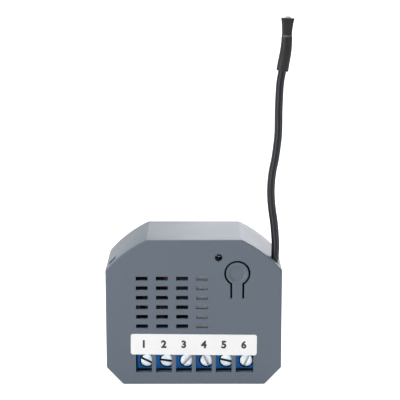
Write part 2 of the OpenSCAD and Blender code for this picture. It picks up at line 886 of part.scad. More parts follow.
// Armature of the relay with its contact blade, at rest swung away from the core
module relay_armature() {
    color(bright_steel)
        translate([relay_x, pivot_y, pivot_z])
            rotate([armature_swing, 0, 0]) {
                block([-armature_w / 2, -armature_t, -yoke_t / 2],
                    [armature_w / 2, 0, core_z - pivot_z + flange_d / 2]);
                block([-blade_w / 2, 0.05 - armature_t - blade_t, core_z - pivot_z],
                    [blade_w / 2, 0.05 - armature_t, contact_arm + 1.2]);
                bar_y_axis(0, contact_arm, rivet_y, rivet_back, rivet_d);
            }
}

// Fixed contact strip of the relay: a foot on the base, an arm and a rivet
module fixed_contact(z, strip_y, rivet_from) {
    half = blade_w / 2;
    color(copper)
        union() {
            block([relay_x - half, strip_y, z], [relay_x + half, relay_floor, z + blade_t]);
            block([relay_x - half, strip_y, contact_z - strip_end],
                [relay_x + half, strip_y + blade_t, z + blade_t]);
            bar_y_axis(relay_x, contact_z, rivet_from, rivet_from + rivet_h + fit_gap, rivet_d);
        }
}

// Fixed contact that the armature meets when the coil is on
module relay_contact_no() {
    fixed_contact(no_z, no_face + rivet_h, no_face);
}

// Fixed contact that the armature leaves when the coil is on
module relay_contact_nc() {
    fixed_contact(nc_z, nc_face - rivet_h - blade_t, nc_face - rivet_h - fit_gap);
}

// Body of the push switch
module switch_body() {
    color(part_black)
        difference() {
            at_depth(switch_y, pcb_y)
                translate([button_x, button_z])
                    rounded_rect(switch_w, switch_w, 0.6);
            bar_y_axis(button_x, button_z, switch_y - over, plunger_back + press_travel + run_gap,
                plunger_d + 2 * fit_gap);
        }
    color(tin_grey)
        leads(switch_leads, pcb_y - fuse, thin_lead);
}

// Plunger of the push switch
module switch_plunger() {
    r = plunger_d / 2;
    length = plunger_back - plunger_y;
    color(part_black)
        turned(button_x, button_z, plunger_y)
            polygon([[0, 0], [r - 0.3, 0], [r, 0.3], [r, length], [0, length]]);
}

// Indicator lamp on its leads behind the cover's hole
module indicator_led() {
    r = led_d / 2;
    led_y = face_y + led_recess;
    led_foot = 0.8;
    color([0.85, 0.87, 0.85])
        union() {
            bar_y_axis(led_x, led_z, led_y + r, led_y + led_h, led_d);
            translate([led_x, led_y + r, led_z])
                sphere(r);
            bar_y_axis(led_x, led_z, led_y + led_h - led_foot, led_y + led_h, led_flange_d);
            leads(led_leads, led_y + led_h - fuse, thin_lead);
        }
}

// Bulk capacitor: a can with a rolled groove
module bulk_capacitor() {
    r = bulk_d / 2;
    color(part_black)
        union() {
            turned(bulk_x, bulk_z, pcb_y - bulk_h)
                polygon([
                    [0, 0.2], [r - 0.8, 0.2], [r - 0.8, 0], [r - 0.3, 0], [r, 0.3],
                    [r, bulk_h - 2], [r - 0.4, bulk_h - 1.6], [r, bulk_h - 1.2], [r, bulk_h],
                    [0, bulk_h]
                ]);
            leads(bulk_leads, pcb_y - fuse, thin_lead);
        }
}

// Filter capacitor: a moulded box
module filter_capacitor() {
    color([0.16, 0.17, 0.2])
        union() {
            at_depth(pcb_y - film_h, pcb_y)
                translate([film_x, film_z])
                    rounded_rect(film_len, film_t, 0.6);
            leads(film_leads, pcb_y - fuse, thin_lead);
        }
}

// Varistor: a coated disc that stands on its leads
module varistor() {
    r = varistor_d / 2;
    h = varistor_t / 2;
    color(varistor_red)
        union() {
            translate([varistor_x, varistor_y, varistor_z])
                rotate([0, 90, 0])
                    rotate_extrude()
                        polygon([
                            [0, -h], [r - 1.2, -h], [r - 0.3, 0.4 - h], [r, 1 - h],
                            [r, h - 1], [r - 0.3, h - 0.4], [r - 1.2, h], [0, h]
                        ]);
            leads(varistor_leads, varistor_y, thin_lead);
        }
}

// Fuse resistor: a round body whose leads bend down to the board
module fuse_resistor() {
    color([0.5, 0.56, 0.6])
        union() {
            translate([resistor_x - resistor_len / 2, resistor_y, resistor_z])
                rotate([0, 90, 0])
                    cylinder(d = resistor_d, h = resistor_len);
            translate([resistor_x - resistor_lead, resistor_y, resistor_z])
                rotate([0, 90, 0])
                    cylinder(d = thin_lead, h = 2 * resistor_lead);
            for (p = resistor_leads)
                translate([p.x, resistor_y, p.y])
                    sphere(d = thin_lead);
            leads(resistor_leads, resistor_y, thin_lead);
        }
}

// Inductor: a drum core with its winding
module buck_inductor() {
    r = inductor_d / 2;
    color(copper)
        union() {
            turned(inductor_x, inductor_z, pcb_y - inductor_h)
                polygon([
                    [0, 0], [r, 0], [r, 1], [r - 0.5, 1], [r - 0.5, inductor_h - 1],
                    [r, inductor_h - 1], [r, inductor_h], [0, inductor_h]
                ]);
            leads(inductor_leads, pcb_y - fuse, thin_lead);
        }
}

// Upright radio board with its row of leads
module radio_board() {
    color(board_green)
        union() {
            block([radio_x, pcb_y - radio_h, radio_z],
                [radio_x + radio_t, pcb_y, radio_z + radio_len]);
            leads(radio_leads, pcb_y - fuse, thin_lead);
        }
}

// Shield can over the radio parts
module radio_shield() {
    color(tin_grey)
        block([radio_x - shield_h, pcb_y - radio_h + 1, radio_z + 1],
            [radio_x, pcb_y - 1.2, radio_z + radio_len - 2]);
}

// Controller chip on the back of the circuit board
module controller_chip() {
    color(part_black)
        at_depth(pcb_back, pcb_back + chip_t)
            translate([chip_x, chip_z])
                square(chip_w, center = true);
}

// Antenna wire
module antenna_wire() {
    color(part_black)
        sweep([for (i = [0 : len(wire_route) - 1])
            ring(wire_route[i], heading(wire_route, i), wire_d / 2, wire_d / 2, 8)]);
}

// End sleeve of the antenna: a shrunk tube with a crimped and flared tip
module antenna_sleeve() {
    path = concat(sleeve_route, tip_route);
    depth = concat(sleeve_body, tip_depth);
    width = concat(sleeve_body, tip_width);
    bore = wire_d / 2 + sleeve_gap;
    bore_end = sleeve_route[len(sleeve_route) - 1] + [0, 0, 2 * sleeve_gap];
    bore_route = concat([for (i = [0 : len(sleeve_route) - 2]) sleeve_route[i]], [bore_end]);
    bore_rings = [for (i = [len(bore_route) - 1 : -1 : 0])
        ring(bore_route[i], heading(path, i), bore, bore, 8)];
    outer_rings = [for (i = [0 : len(path) - 1])
        ring(path[i], heading(path, i), depth[i], width[i], 8)];
    color(sleeve_black)
        sweep(concat(bore_rings, outer_rings));
}

front_cover();
rear_case();
button_tongue();
terminal_label();
circuit_board();
terminal_block(0);  // terminal_block_left
terminal_block(poles / 2);  // terminal_block_right
terminal_contacts();
for (i = [1 : poles])
    terminal_screw(i - 1);
for (i = [1 : poles])
    clamp_cage(i - 1);
relay_base();
relay_case();
relay_yoke();
relay_coil();
relay_armature();
relay_contact_no();
relay_contact_nc();
switch_body();
switch_plunger();
indicator_led();
bulk_capacitor();
filter_capacitor();
varistor();
fuse_resistor();
buck_inductor();
radio_board();
radio_shield();
controller_chip();
antenna_wire();
antenna_sleeve();
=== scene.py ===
# Looks of the smart relay module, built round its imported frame, in metres
import math

import bmesh
import bpy
from mathutils import Matrix, Vector


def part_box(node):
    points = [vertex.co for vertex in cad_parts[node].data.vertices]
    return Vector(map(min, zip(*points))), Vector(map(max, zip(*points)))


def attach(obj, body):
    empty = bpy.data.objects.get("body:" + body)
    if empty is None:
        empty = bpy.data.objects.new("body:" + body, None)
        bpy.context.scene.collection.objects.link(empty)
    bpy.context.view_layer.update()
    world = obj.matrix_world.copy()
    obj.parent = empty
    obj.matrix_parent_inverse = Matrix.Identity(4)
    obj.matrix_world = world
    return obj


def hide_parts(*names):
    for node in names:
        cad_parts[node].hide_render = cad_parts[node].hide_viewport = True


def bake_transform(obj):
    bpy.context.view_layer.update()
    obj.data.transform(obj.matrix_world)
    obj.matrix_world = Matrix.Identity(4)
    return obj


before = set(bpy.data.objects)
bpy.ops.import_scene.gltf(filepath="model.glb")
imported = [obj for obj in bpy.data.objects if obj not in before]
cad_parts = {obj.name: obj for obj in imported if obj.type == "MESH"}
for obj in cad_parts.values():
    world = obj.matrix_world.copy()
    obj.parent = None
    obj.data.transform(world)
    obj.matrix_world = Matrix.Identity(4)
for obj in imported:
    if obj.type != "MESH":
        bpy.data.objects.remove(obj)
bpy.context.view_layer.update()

MM = 0.001

# Body that a piece rides on where no other is named
HOME = "module_body"

# Mesh work: reach of cutters past a shape, closeness in metres, corners in degrees, steps round
OVER = 1 * MM
SAME = 1e-6
MERGE = 1e-7
DEGENERATE = 1e-8
WELD = 0.0015 * MM
FACE_NEAR = 0.001 * MM
LEAD_NEAR = 0.01 * MM
BENT = 10
SHARP = 60
CAD_SHARP = 40
CAD_FLAT = 0.5
BAR_STEPS = 48
SPIN_STEPS = 48

# Planes and sides of the housing, from the frame
case_low, case_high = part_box("rear_case")
board_low, board_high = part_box("circuit_board")
tongue_low, tongue_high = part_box("button_tongue")
FRONT_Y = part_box("front_cover")[0].y
SEAM_Y = case_low.y
BACK_Y = case_high.y
BODY_W = case_high.x - case_low.x
BODY_H = case_high.z - case_low.z
BOARD_Y = board_low.y

# Outline of the housing
BASE_W = 36 * MM
FOOT_H = 4.5 * MM
FOOT_RUN = (BODY_W - BASE_W) / 2
SHOULDER_H = 30.1 * MM
TOP_W = 24 * MM
SHOULDER_R = 32 * MM
SHOULDER_STEPS = 18
EDGE_R = 0.42 * MM
BACK_EDGE_R = 0.3 * MM
CORNER_R = 0.25 * MM
WALL = 1.5 * MM
COVER_T = 1.5 * MM
LIP_GAP = 0.1 * MM
LIP_T = 1 * MM
LIP_D = 2.2 * MM
SEAM_R = 0.07 * MM
RIM_R = 0.06 * MM

# Snap ridges, board posts and the antenna's ways out
SNAP_R = 0.5 * MM
SNAP_H = 0.35 * MM
SNAP_LEN = 9 * MM
SNAP_BACK = 0.9 * MM
SNAP_GAP = 0.08 * MM
SNAP_STEPS = 24
POST_R = 2 * MM
POST_PIP_R = 0.9 * MM
POST_PIP_SHORT = 0.1 * MM
POST_PIP_ROOT = 0.3 * MM
POST_PIP_STEPS = 32
POST_X = 17.85 * MM
POST_Z = (8 * MM, 29.4 * MM)
WAY_W = 2.4 * MM
WAY_ANGLE = math.radians(45)

# Openings in the cover
VENT_COLS = 4
VENT_ROWS = 6
VENT_W = 3 * MM
VENT_H = 1 * MM
VENT_PITCH_Z = 2.5 * MM
VENT_DROP = 10 * MM
VENT_INSET = 0.4 * MM
LAMP_X = 6.25 * MM
LAMP_Z = 33.4 * MM
LAMP_HOLE_R = 0.95 * MM
THIN_RIM = 0.6 * MM

# Terminal row
POLES = 6
PITCH = 5.08 * MM
BLOCK_SHIFT = 0.75 * MM
SCREW_Z = 5.7 * MM
WINDOW_W = 4.05 * MM
WINDOW_EXTRA = 0.45 * MM
WINDOW_LOW = 3.25 * MM
WINDOW_H = 5.25 * MM
ENTRY_W = 3.3 * MM
ENTRY_Y = (-1.14 * MM, 1.76 * MM)
HEAD_H = 1.3 * MM
HEAD_EDGE = 0.09 * MM
SLOT_W = 0.56 * MM
SLOT_DEPTH = 0.6 * MM
SLOT_REACH = 3 * MM
SLOT_RIM = 0.05 * MM
# Screws whose slots are painted dark as shade; the other slots get a lighter painted shade
SHADED_SLOTS = (1, 2, 5)
SLOT_ANGLES = (-27, -8, 48, -65, -13, 68)
SHANK_R = 1.15 * MM
THREAD_DEPTH = 0.16 * MM
THREAD_PITCH = 0.5 * MM
THREAD_CREST = 0.4
THREAD_FOOT = 0.8
THREAD_STEPS = 24
THREAD_START = 0.1 * MM
THREAD_SINK = 0.02 * MM
SCREW_TIP = 0.4 * MM

# Button, with its dish as radius and depth in millimetres
PAD_R = 2.825 * MM
KEY_GAP = 0.48 * MM
STEM_W = 2.55 * MM
STEM_LEN = 6.5 * MM
TONGUE_T = 0.9 * MM
DISH = [
    (2.46, -0.03), (2.36, 0.005), (2.28, 0.035), (1.76, 0.4), (1.68, 0.43), (1.58, 0.42), (0.8, 0.36),
    (0, 0.34),
]
PIP_R = 1.2 * MM
KEY_STEPS = 56
BUTTON_X = (tongue_low.x + tongue_high.x) / 2
BUTTON_Z = tongue_high.z - PAD_R
ROOT_Z = BUTTON_Z - STEM_LEN

# Label
LABEL_W = 32 * MM
LABEL_H = 5.45 * MM
LABEL_T = 0.1 * MM
LABEL_R = 0.6 * MM
LABEL_Z = 10.65 * MM
LABEL_TILT = math.radians(0.5)
DIGIT_H = 2.05 * MM
DIGIT_T = 0.02 * MM
DIGIT_RISE = 0.1 * MM
DIGIT_SWELL = 0.03
DIGIT_BEVEL = 0.018

# Antenna, with its route in millimetres: inside the case, then X and Z of wire, sleeve and tip
WIRE_R = 1.02 * MM
WIRE_Y = -7.24
WIRE_INNER = [
    (16.3, 3.56, 28), (16.3, -0.04, 28), (16.3, -3.04, 28), (16.7, -5.24, 28.3), (17.8, -6.69, 29.15),
    (19.45, WIRE_Y, 30.65), (20.2, WIRE_Y, 31.4), (20.4, WIRE_Y, 32.05),
]
WIRE_OUTER = [
    (20.52, 32.9), (20.57, 34), (20.61, 36), (20.42, 39), (20.12, 42), (19.66, 45), (19.36, 48),
    (19.32, 51), (19.62, 54.5), (20.26, 58), (20.66, 61), (20.95, 64), (21, 67), (21, 70), (21.1, 73.5),
    (21.3, 77),
]
SLEEVE_ROUTE = [(21.76, 79.93), (22.0, 81.6), (22.4, 83.6), (22.66, 85.6), (22.76, 87)]
SLEEVE_HALF = [1.53, 1.51, 1.49, 1.45, 1.38]
TIP_ROUTE = [(22.78, 88.2), (22.78, 88.41), (22.79, 88.65), (22.82, 89.5), (22.88, 91.2), (22.96, 92.82)]
TIP_DEPTH = [1.3, 1.16, 0.74, 0.68, 0.62, 0.58]
TIP_WIDTH = [1.38, 1.34, 1.25, 1.29, 1.39, 1.63]


# Node helpers

def srgb(red, green, blue):
    """Linear colour of an sRGB colour from 0 to 255."""
    def linear(value):
        value /= 255
        return value / 12.92 if value <= 0.04045 else ((value + 0.055) / 1.055) ** 2.4
    return (linear(red), linear(green), linear(blue), 1)


def shade(colour, factor):
    """Colour made lighter or darker."""
    return tuple(min(1, c * factor) for c in colour[:3]) + (1,)


def add(tree, kind, inputs=None, **settings):
    """New node with its settings, and its inputs as values or as links from other nodes."""
    made = tree.nodes.new(kind)
    for key, value in settings.items():
        setattr(made, key, value)
    for key, value in (inputs or {}).items():
        if isinstance(value, bpy.types.NodeSocket):
            tree.links.new(value, made.inputs[key])
        else:
            made.inputs[key].default_value = value
    return made


def start(name):
    """Material with an empty tree, its shader and the object coordinates."""
    material = bpy.data.materials.new(name)
    material.use_nodes = True
    tree = material.node_tree
    tree.nodes.clear()
    shader = add(tree, "ShaderNodeBsdfPrincipled")
    add(tree, "ShaderNodeOutputMaterial", {"Surface": shader.outputs["BSDF"]})
    place = add(tree, "ShaderNodeTexCoord").outputs["Object"]
    return material, tree, shader, place


def noise(tree, place, scale, detail=3, roughness=0.5):
    """Soft noise with a scale per metre."""
    made = add(tree, "ShaderNodeTexNoise", {
        "Vector": place, "Scale": scale, "Detail": detail, "Roughness": roughness})
    return made.outputs["Fac"]


def stretched(tree, place, scale):
    """Coordinates that are scaled along each axis."""
    return add(tree, "ShaderNodeMapping", {"Vector": place, "Scale": scale}).outputs["Vector"]


def ramp(tree, factor, *stops):
    """Colours blended along a factor, each stop a position and a colour."""
    made = add(tree, "ShaderNodeValToRGB", {"Fac": factor})
    bar = made.color_ramp.elements
    while len(bar) < len(stops):
        bar.new(0.5)
    for element, (position, colour) in zip(bar, stops):
        element.position = position
        element.color = colour
    return made.outputs["Color"]


def spread(tree, factor, low, high, start_at=0.3, end_at=0.7):
    """Number that runs from low to high with a factor."""
    made = add(tree, "ShaderNodeMapRange", {
        "Value": factor, "From Min": start_at, "From Max": end_at, "To Min": low, "To Max": high})
    return made.outputs["Result"]


def sums(tree, operation, a, b=0):
    """Sum, product or other combination of numbers."""
    made = add(tree, "ShaderNodeMath", {0: a, 1: b}, operation=operation)
    return made.outputs["Value"]


def weighted(tree, a, share_a, b, share_b):
    """Two numbers added, each with its share."""
    return sums(tree, "ADD", sums(tree, "MULTIPLY", a, share_a), sums(tree, "MULTIPLY", b, share_b))


def bump(tree, shader, height, depth):
    """Relief on a shader, with a depth in metres."""
    made = add(tree, "ShaderNodeBump", {"Height": height, "Distance": depth})
    tree.links.new(made.outputs["Normal"], shader.inputs["Normal"])


def mottle(tree, shader, factor, colour, dark, light):
    """Base colour from a darker to a lighter shade of a colour."""
    colours = ramp(tree, factor, (0.3, shade(colour, dark)), (0.7, shade(colour, light)))
    tree.links.new(colours, shader.inputs["Base Color"])


def gloss(tree, shader, factor, low, high):
    """Roughness that varies with a factor."""
    tree.links.new(spread(tree, factor, low, high), shader.inputs["Roughness"])


# Finishes

# Count of lighter stripes painted round the wire as highlights
HIGHLIGHT_COUNT = 8
# Painted highlight band round the sleeve's neck: its height, half height, full-strength core and
# strength
NECK_Z = 88.5 * MM
NECK_HALF = 0.34 * MM
NECK_CORE = 0.05 * MM
NECK_HIGHLIGHT = 0.45
TURNING_PITCH = 0.16 * MM
TURNING_WOBBLE = 0.08 * MM
BAND_HALF = 0.035
BAND_EDGE = 0.005


def moulded(name, colour, roughness, grain=3200, depth=0.006 * MM, specular=0.5):
    """Moulded plastic: faint clouding, fine spark-eroded grain and uneven gloss."""
    material, tree, shader, place = start(name)
    clouds = noise(tree, place, scale=70, detail=4)
    fine = noise(tree, place, scale=grain, detail=2, roughness=0.6)
    mottle(tree, shader, weighted(tree, clouds, 0.4, fine, 0.6), colour, dark=0.95, light=1.05)
    gloss(tree, shader, clouds, low=roughness - 0.04, high=roughness + 0.04)
    shader.inputs["Specular IOR Level"].default_value = specular
    bump(tree, shader, fine, depth)
    return material


def plated(name, colour, roughness):
    """Plated metal with a faint grain and uneven gloss."""
    material, tree, shader, place = start(name)
    clouds = noise(tree, place, scale=240, detail=4)
    mottle(tree, shader, clouds, colour, dark=0.9, light=1.06)
    gloss(tree, shader, clouds, low=roughness - 0.06, high=roughness + 0.08)
    shader.inputs["Metallic"].default_value = 1
    bump(tree, shader, noise(tree, place, scale=2600), depth=0.004 * MM)
    return material


def turned_steel(name, colour):
    """Bright screw steel with turning marks round each screw's axis."""
    material, tree, shader, place = start(name)
    parts = add(tree, "ShaderNodeSeparateXYZ", {"Vector": place}).outputs
    along = sums(tree, "SUBTRACT", parts["X"], BLOCK_SHIFT + PITCH / 2)
    wrap = add(tree, "ShaderNodeMath", {0: along, 1: PITCH / 2, 2: -PITCH / 2}, operation="WRAP")
    across = wrap.outputs["Value"]
    up = sums(tree, "SUBTRACT", parts["Z"], SCREW_Z)
    squares = sums(tree, "ADD", sums(tree, "MULTIPLY", across, across), sums(tree, "MULTIPLY", up, up))
    wobble = sums(tree, "MULTIPLY", noise(tree, place, scale=900, detail=2), TURNING_WOBBLE)
    radius = sums(tree, "ADD", sums(tree, "SQRT", squares), wobble)
    rings = sums(tree, "SINE", sums(tree, "MULTIPLY", radius, 2 * math.pi / TURNING_PITCH))
    stains = noise(tree, place, scale=700, detail=4, roughness=0.6)
    colours = ramp(tree, stains, (0.32, shade(colour, 0.82)), (0.5, colour), (0.75, shade(colour, 1.05)))
    tree.links.new(colours, shader.inputs["Base Color"])
    gloss(tree, shader, stains, low=0.42, high=0.28)
    shader.inputs["Metallic"].default_value = 1
    bump(tree, shader, rings, depth=0.003 * MM)
    return material


def label_film(name, colour):
    """White printed film with a faint fibre and satin gloss."""
    material, tree, shader, place = start(name)
    fibre = noise(tree, stretched(tree, place, (0.4, 1, 1)), scale=2200, detail=4, roughness=0.6)
    mottle(tree, shader, noise(tree, place, scale=120), colour, dark=0.97, light=1)
    gloss(tree, shader, fibre, low=0.42, high=0.55)
    bump(tree, shader, fibre, depth=0.003 * MM)
    return material


def printed_ink(name, colour):
    """Dark printing ink that lies a little uneven on the film."""
    material, tree, shader, place = start(name)
    cover = noise(tree, place, scale=3000)
    mottle(tree, shader, cover, colour, dark=0.8, light=1.25)
    gloss(tree, shader, cover, low=0.4, high=0.6)
    return material


def solder_mask(name, colour, copper_tint):
    """Circuit board: green mask over copper areas that show through it, with a fine weave."""
    material, tree, shader, place = start(name)
    cells = add(tree, "ShaderNodeTexVoronoi", {"Vector": place, "Scale": 260, "Randomness": 0.7},
                feature="DISTANCE_TO_EDGE", distance="MANHATTAN").outputs["Distance"]
    areas = ramp(tree, cells, (0.05, colour), (0.09, copper_tint))
    tree.links.new(areas, shader.inputs["Base Color"])
    strands = [add(tree, "ShaderNodeTexWave", {"Vector": place, "Scale": 700}, bands_direction=axis)
               for axis in ("X", "Z")]
    weave = sums(tree, "MULTIPLY", *(s.outputs["Fac"] for s in strands))
    shader.inputs["Roughness"].default_value = 0.34
    bump(tree, shader, sums(tree, "ADD", cells, weave), depth=0.01 * MM)
    return material


def winding(name, colour):
    """Enamelled copper wound in fine turns along the depth."""
    material, tree, shader, place = start(name)
    wave = {"Vector": place, "Scale": 1100, "Distortion": 0.6}
    turns = add(tree, "ShaderNodeTexWave", wave, bands_direction="Y").outputs["Fac"]
    colours = ramp(tree, turns, (0.15, shade(colour, 0.45)), (0.7, colour))
    tree.links.new(colours, shader.inputs["Base Color"])
    shader.inputs["Metallic"].default_value = 0.85
    shader.inputs["Roughness"].default_value = 0.3
    bump(tree, shader, turns, depth=0.05 * MM)
    return material


def banded_coat(name, colour, centre, length, bands):
    """Coated resistor body with colour bands across its length."""
    material, tree, shader, place = start(name)
    x = add(tree, "ShaderNodeSeparateXYZ", {"Vector": place}).outputs["X"]
    along = spread(tree, x, 0, 1, centre - length / 2, centre + length / 2)
    stops = [(0, colour)]
    for position, tint in bands:
        left, right = position - BAND_HALF, position + BAND_HALF
        stops += [(left, colour), (left + BAND_EDGE, tint), (right, tint), (right + BAND_EDGE, colour)]
    tree.links.new(ramp(tree, along, *stops), shader.inputs["Base Color"])
    shader.inputs["Roughness"].default_value = 0.32
    bump(tree, shader, noise(tree, place, scale=900, detail=2), depth=0.02 * MM)
    return material


def dipped_coat(name, colour):
    """Dipped coating with an orange-peel gloss."""
    material, tree, shader, place = start(name)
    peel = noise(tree, place, scale=900, detail=2)
    mottle(tree, shader, peel, colour, dark=0.85, light=1.12)
    shader.inputs["Roughness"].default_value = 0.3
    shader.inputs["Coat Weight"].default_value = 0.4
    shader.inputs["Coat Roughness"].default_value = 0.15
    bump(tree, shader, peel, depth=0.03 * MM)
    return material


def clear_resin(name, colour):
    """Clear resin of the indicator lamp, slightly clouded."""
    material, tree, shader, place = start(name)
    clouds = noise(tree, place, scale=900)
    mottle(tree, shader, clouds, colour, dark=0.9, light=1)
    gloss(tree, shader, clouds, low=0.06, high=0.14)
    shader.inputs["Transmission Weight"].default_value = 0.8
    shader.inputs["IOR"].default_value = 1.5
    return material


def insulation(name, colour, highlight_colour):
    """Satin wire insulation with lighter stripes painted along the wire as highlights, on the curve's
    own UV, with a faint relief under them, and faint scuffs.
    """
    material, tree, shader, place = start(name)
    own = add(tree, "ShaderNodeTexCoord").outputs["UV"]
    around = add(tree, "ShaderNodeSeparateXYZ", {"Vector": own}).outputs["Y"]
    # Lighter stripes painted round the wire as highlights
    painted_highlights = sums(tree, "COSINE", sums(tree, "MULTIPLY", around, 2 * math.pi * HIGHLIGHT_COUNT))
    scuffs = noise(tree, stretched(tree, place, (1, 1, 0.35)), scale=900, detail=5, roughness=0.65)
    streaks_and_highlights = weighted(tree, painted_highlights, 0.8, scuffs, 0.4)
    tree.links.new(ramp(tree, streaks_and_highlights, (0.62, colour), (1, highlight_colour)), shader.inputs["Base Color"])
    gloss(tree, shader, scuffs, low=0.22, high=0.28)
    shader.inputs["Specular IOR Level"].default_value = 0.25
    bump(tree, shader, painted_highlights, depth=0.004 * MM)
    return material


def shrunk_tube(name, colour, neck_highlight):
    """Shrunk tube: matt, with lengthwise creases, a dusty bloom and a lighter line painted at its
    pinched neck as a highlight.
    """
    material, tree, shader, place = start(name)
    creases = noise(tree, stretched(tree, place, (1, 1, 0.12)), scale=1800, detail=4, roughness=0.6)
    bloom = noise(tree, place, scale=800, detail=5, roughness=0.6)
    up = add(tree, "ShaderNodeSeparateXYZ", {"Vector": place}).outputs["Z"]
    away = sums(tree, "ABSOLUTE", sums(tree, "SUBTRACT", up, NECK_Z))
    # Lighter band painted round the neck as a highlight
    neck = spread(tree, away, NECK_HIGHLIGHT, 0, NECK_CORE, NECK_HALF)
    streaks_and_highlights = sums(tree, "ADD", weighted(tree, creases, 0.7, bloom, 0.3), neck)
    colours = ramp(tree, streaks_and_highlights, (0.38, shade(colour, 0.5)), (0.62, shade(colour, 2.6)), (1, neck_highlight))
    tree.links.new(colours, shader.inputs["Base Color"])
    gloss(tree, shader, bloom, low=0.36, high=0.5)
    shader.inputs["Specular IOR Level"].default_value = 0.3
    bump(tree, shader, creases, depth=0.03 * MM)
    return material


GREY = srgb(87, 97, 109)
BLUE = srgb(42, 121, 203)
housing_plastic = moulded("housing_plastic", GREY, roughness=0.4)
block_plastic = moulded("block_plastic", BLUE, roughness=0.5, grain=2000, depth=0.004 * MM,
                        specular=0.12)
# Darker blue painted as shade on the terminal blocks' upper strip
painted_top_shade = moulded("painted_top_shade", srgb(46, 72, 98), roughness=0.6, specular=0.1)
# Dark navy painted as shade on the walls of the room round the screw heads
painted_bore_shade = moulded("painted_bore_shade", srgb(11, 27, 48), roughness=0.6, specular=0.1)
relay_plastic = moulded("relay_plastic", srgb(238, 243, 252), roughness=0.5)
black_plastic = moulded("black_plastic", srgb(38, 38, 41), roughness=0.4)
box_plastic = moulded("box_plastic", srgb(16, 16, 18), roughness=0.45, specular=0.15)
bobbin_plastic = moulded("bobbin_plastic", srgb(214, 208, 190), roughness=0.45)
can_sleeve = moulded("can_sleeve", srgb(34, 36, 46), roughness=0.3, grain=1500)
white_film = label_film("white_film", srgb(246, 246, 246))
dark_ink = printed_ink("dark_ink", srgb(38, 38, 42))
screw_steel = turned_steel("screw_steel", srgb(200, 209, 216))
# Slot faces painted as shade: dark for slots that lie in shade, lighter for slots that catch light
painted_slot_shade = plated("painted_slot_shade", srgb(36, 66, 80), roughness=0.5)
painted_lit_slot = plated("painted_lit_slot", srgb(180, 182, 184), roughness=0.45)
clamp_steel = plated("clamp_steel", srgb(206, 207, 210), roughness=0.3)
tinned_metal = plated("tinned_metal", srgb(198, 199, 202), roughness=0.36)
soft_iron = plated("soft_iron", srgb(172, 174, 178), roughness=0.4)
contact_copper = plated("contact_copper", srgb(205, 140, 92), roughness=0.34)
coil_copper = winding("coil_copper", srgb(196, 112, 60))
ferrite = moulded("ferrite", srgb(58, 58, 60), roughness=0.55, grain=1800, depth=0.01 * MM)
board_mask = solder_mask("board_mask", srgb(8, 42, 36), srgb(12, 56, 44))
varistor_coat = dipped_coat("varistor_coat", srgb(112, 40, 30))
lamp_resin = clear_resin("lamp_resin", srgb(236, 238, 236))
# Its second colour is the painted highlight along the wire
wire_insulation = insulation("wire_insulation", srgb(12, 14, 18), srgb(70, 74, 83))
# Its third colour is the painted highlight at the neck
sleeve_tube = shrunk_tube("sleeve_tube", srgb(20, 18, 20), srgb(84, 78, 79))
sleeve_glue = moulded("sleeve_glue", srgb(158, 160, 164), roughness=0.3, grain=900)


# Mesh helpers

def link(name, data, *materials):
    """New object with its data and materials."""
    obj = bpy.data.objects.new(name, data)
    bpy.context.scene.collection.objects.link(obj)
    for material in materials:
        data.materials.append(material)
    return obj


def piece(name, bm, *materials, smooth=35, even=True):
    """Object made of a bmesh, smooth up to an angle, with even shading on its large flat faces."""
    mesh = bpy.data.meshes.new(name)
    bm.to_mesh(mesh)
    bm.free()
    mesh.polygons.foreach_set("use_smooth", [True] * len(mesh.polygons))
    mesh.set_sharp_from_angle(angle=math.radians(smooth))
    obj = link(name, mesh, *materials)
    if even:
        obj.modifiers.new("even_faces", "WEIGHTED_NORMAL").keep_sharp = True
    return obj


def stands_for(obj, slot, *nodes, body=HOME):
    """Lets a piece ride on a body in place of CAD nodes."""
    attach(obj, body)
    if nodes:
        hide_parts(*nodes)
    return obj


def carve(bm, tool, operation="DIFFERENCE"):
    """Shape with a tool taken away from it or joined to it, worked out in millimetres."""
    parts = [link("carving", bpy.data.meshes.new("carving")) for _ in range(2)]
    for obj, shape in zip(parts, (bm, tool)):
        bmesh.ops.recalc_face_normals(shape, faces=shape.faces[:])
        bmesh.ops.scale(shape, vec=(1 / MM,) * 3, verts=shape.verts[:])
        shape.to_mesh(obj.data)
        shape.free()
    cut = parts[0].modifiers.new("cut", "BOOLEAN")
    cut.object = parts[1]
    cut.operation = operation
    cut.solver = "MANIFOLD"
    view = bpy.context.evaluated_depsgraph_get()
    mesh = bpy.data.meshes.new_from_object(parts[0].evaluated_get(view))
    made = bmesh.new()
    made.from_mesh(mesh)
    bmesh.ops.scale(made, vec=(MM,) * 3, verts=made.verts[:])
    bpy.data.meshes.remove(mesh)
    for obj in parts:
        bpy.data.meshes.remove(obj.data)
    return made


def soften(bm, edges, width, segments=2):
    """Rounds edges of a shape."""
    if edges:
        bmesh.ops.bevel(bm, geom=edges, offset=width, offset_type="OFFSET", affect="EDGES",
                        segments=segments, profile=0.5, material=-1, clamp_overlap=True)


def corner(edge):
    """Angle between an edge's two faces, in degrees."""
    return math.degrees(edge.calc_face_angle(0)) if edge.is_manifold else 0


def in_plane(edge, axis, value):
    """Whether an edge lies in a plane across an axis."""
    return all(abs(v.co[axis] - value) < SAME for v in edge.verts)


def add_box(bm, low, high, turn=Matrix.Identity(4)):
    """Adds a box between two corners, turned afterwards."""
    low, high = Vector(low), Vector(high)
    size = Matrix.Diagonal((*(high - low), 1))
    bmesh.ops.create_cube(bm, size=1, matrix=turn @ Matrix.Translation((low + high) / 2) @ size)


def add_bar(bm, x, z, y0, y1, radius, steps=BAR_STEPS):
    """Adds a round bar along the depth."""
    place = Matrix.Translation((x, (y0 + y1) / 2, z)) @ Matrix.Rotation(math.pi / 2, 4, "X")
    bmesh.ops.create_cone(bm, cap_ends=True, segments=steps, radius1=radius, radius2=radius,
                          depth=y1 - y0, matrix=place)


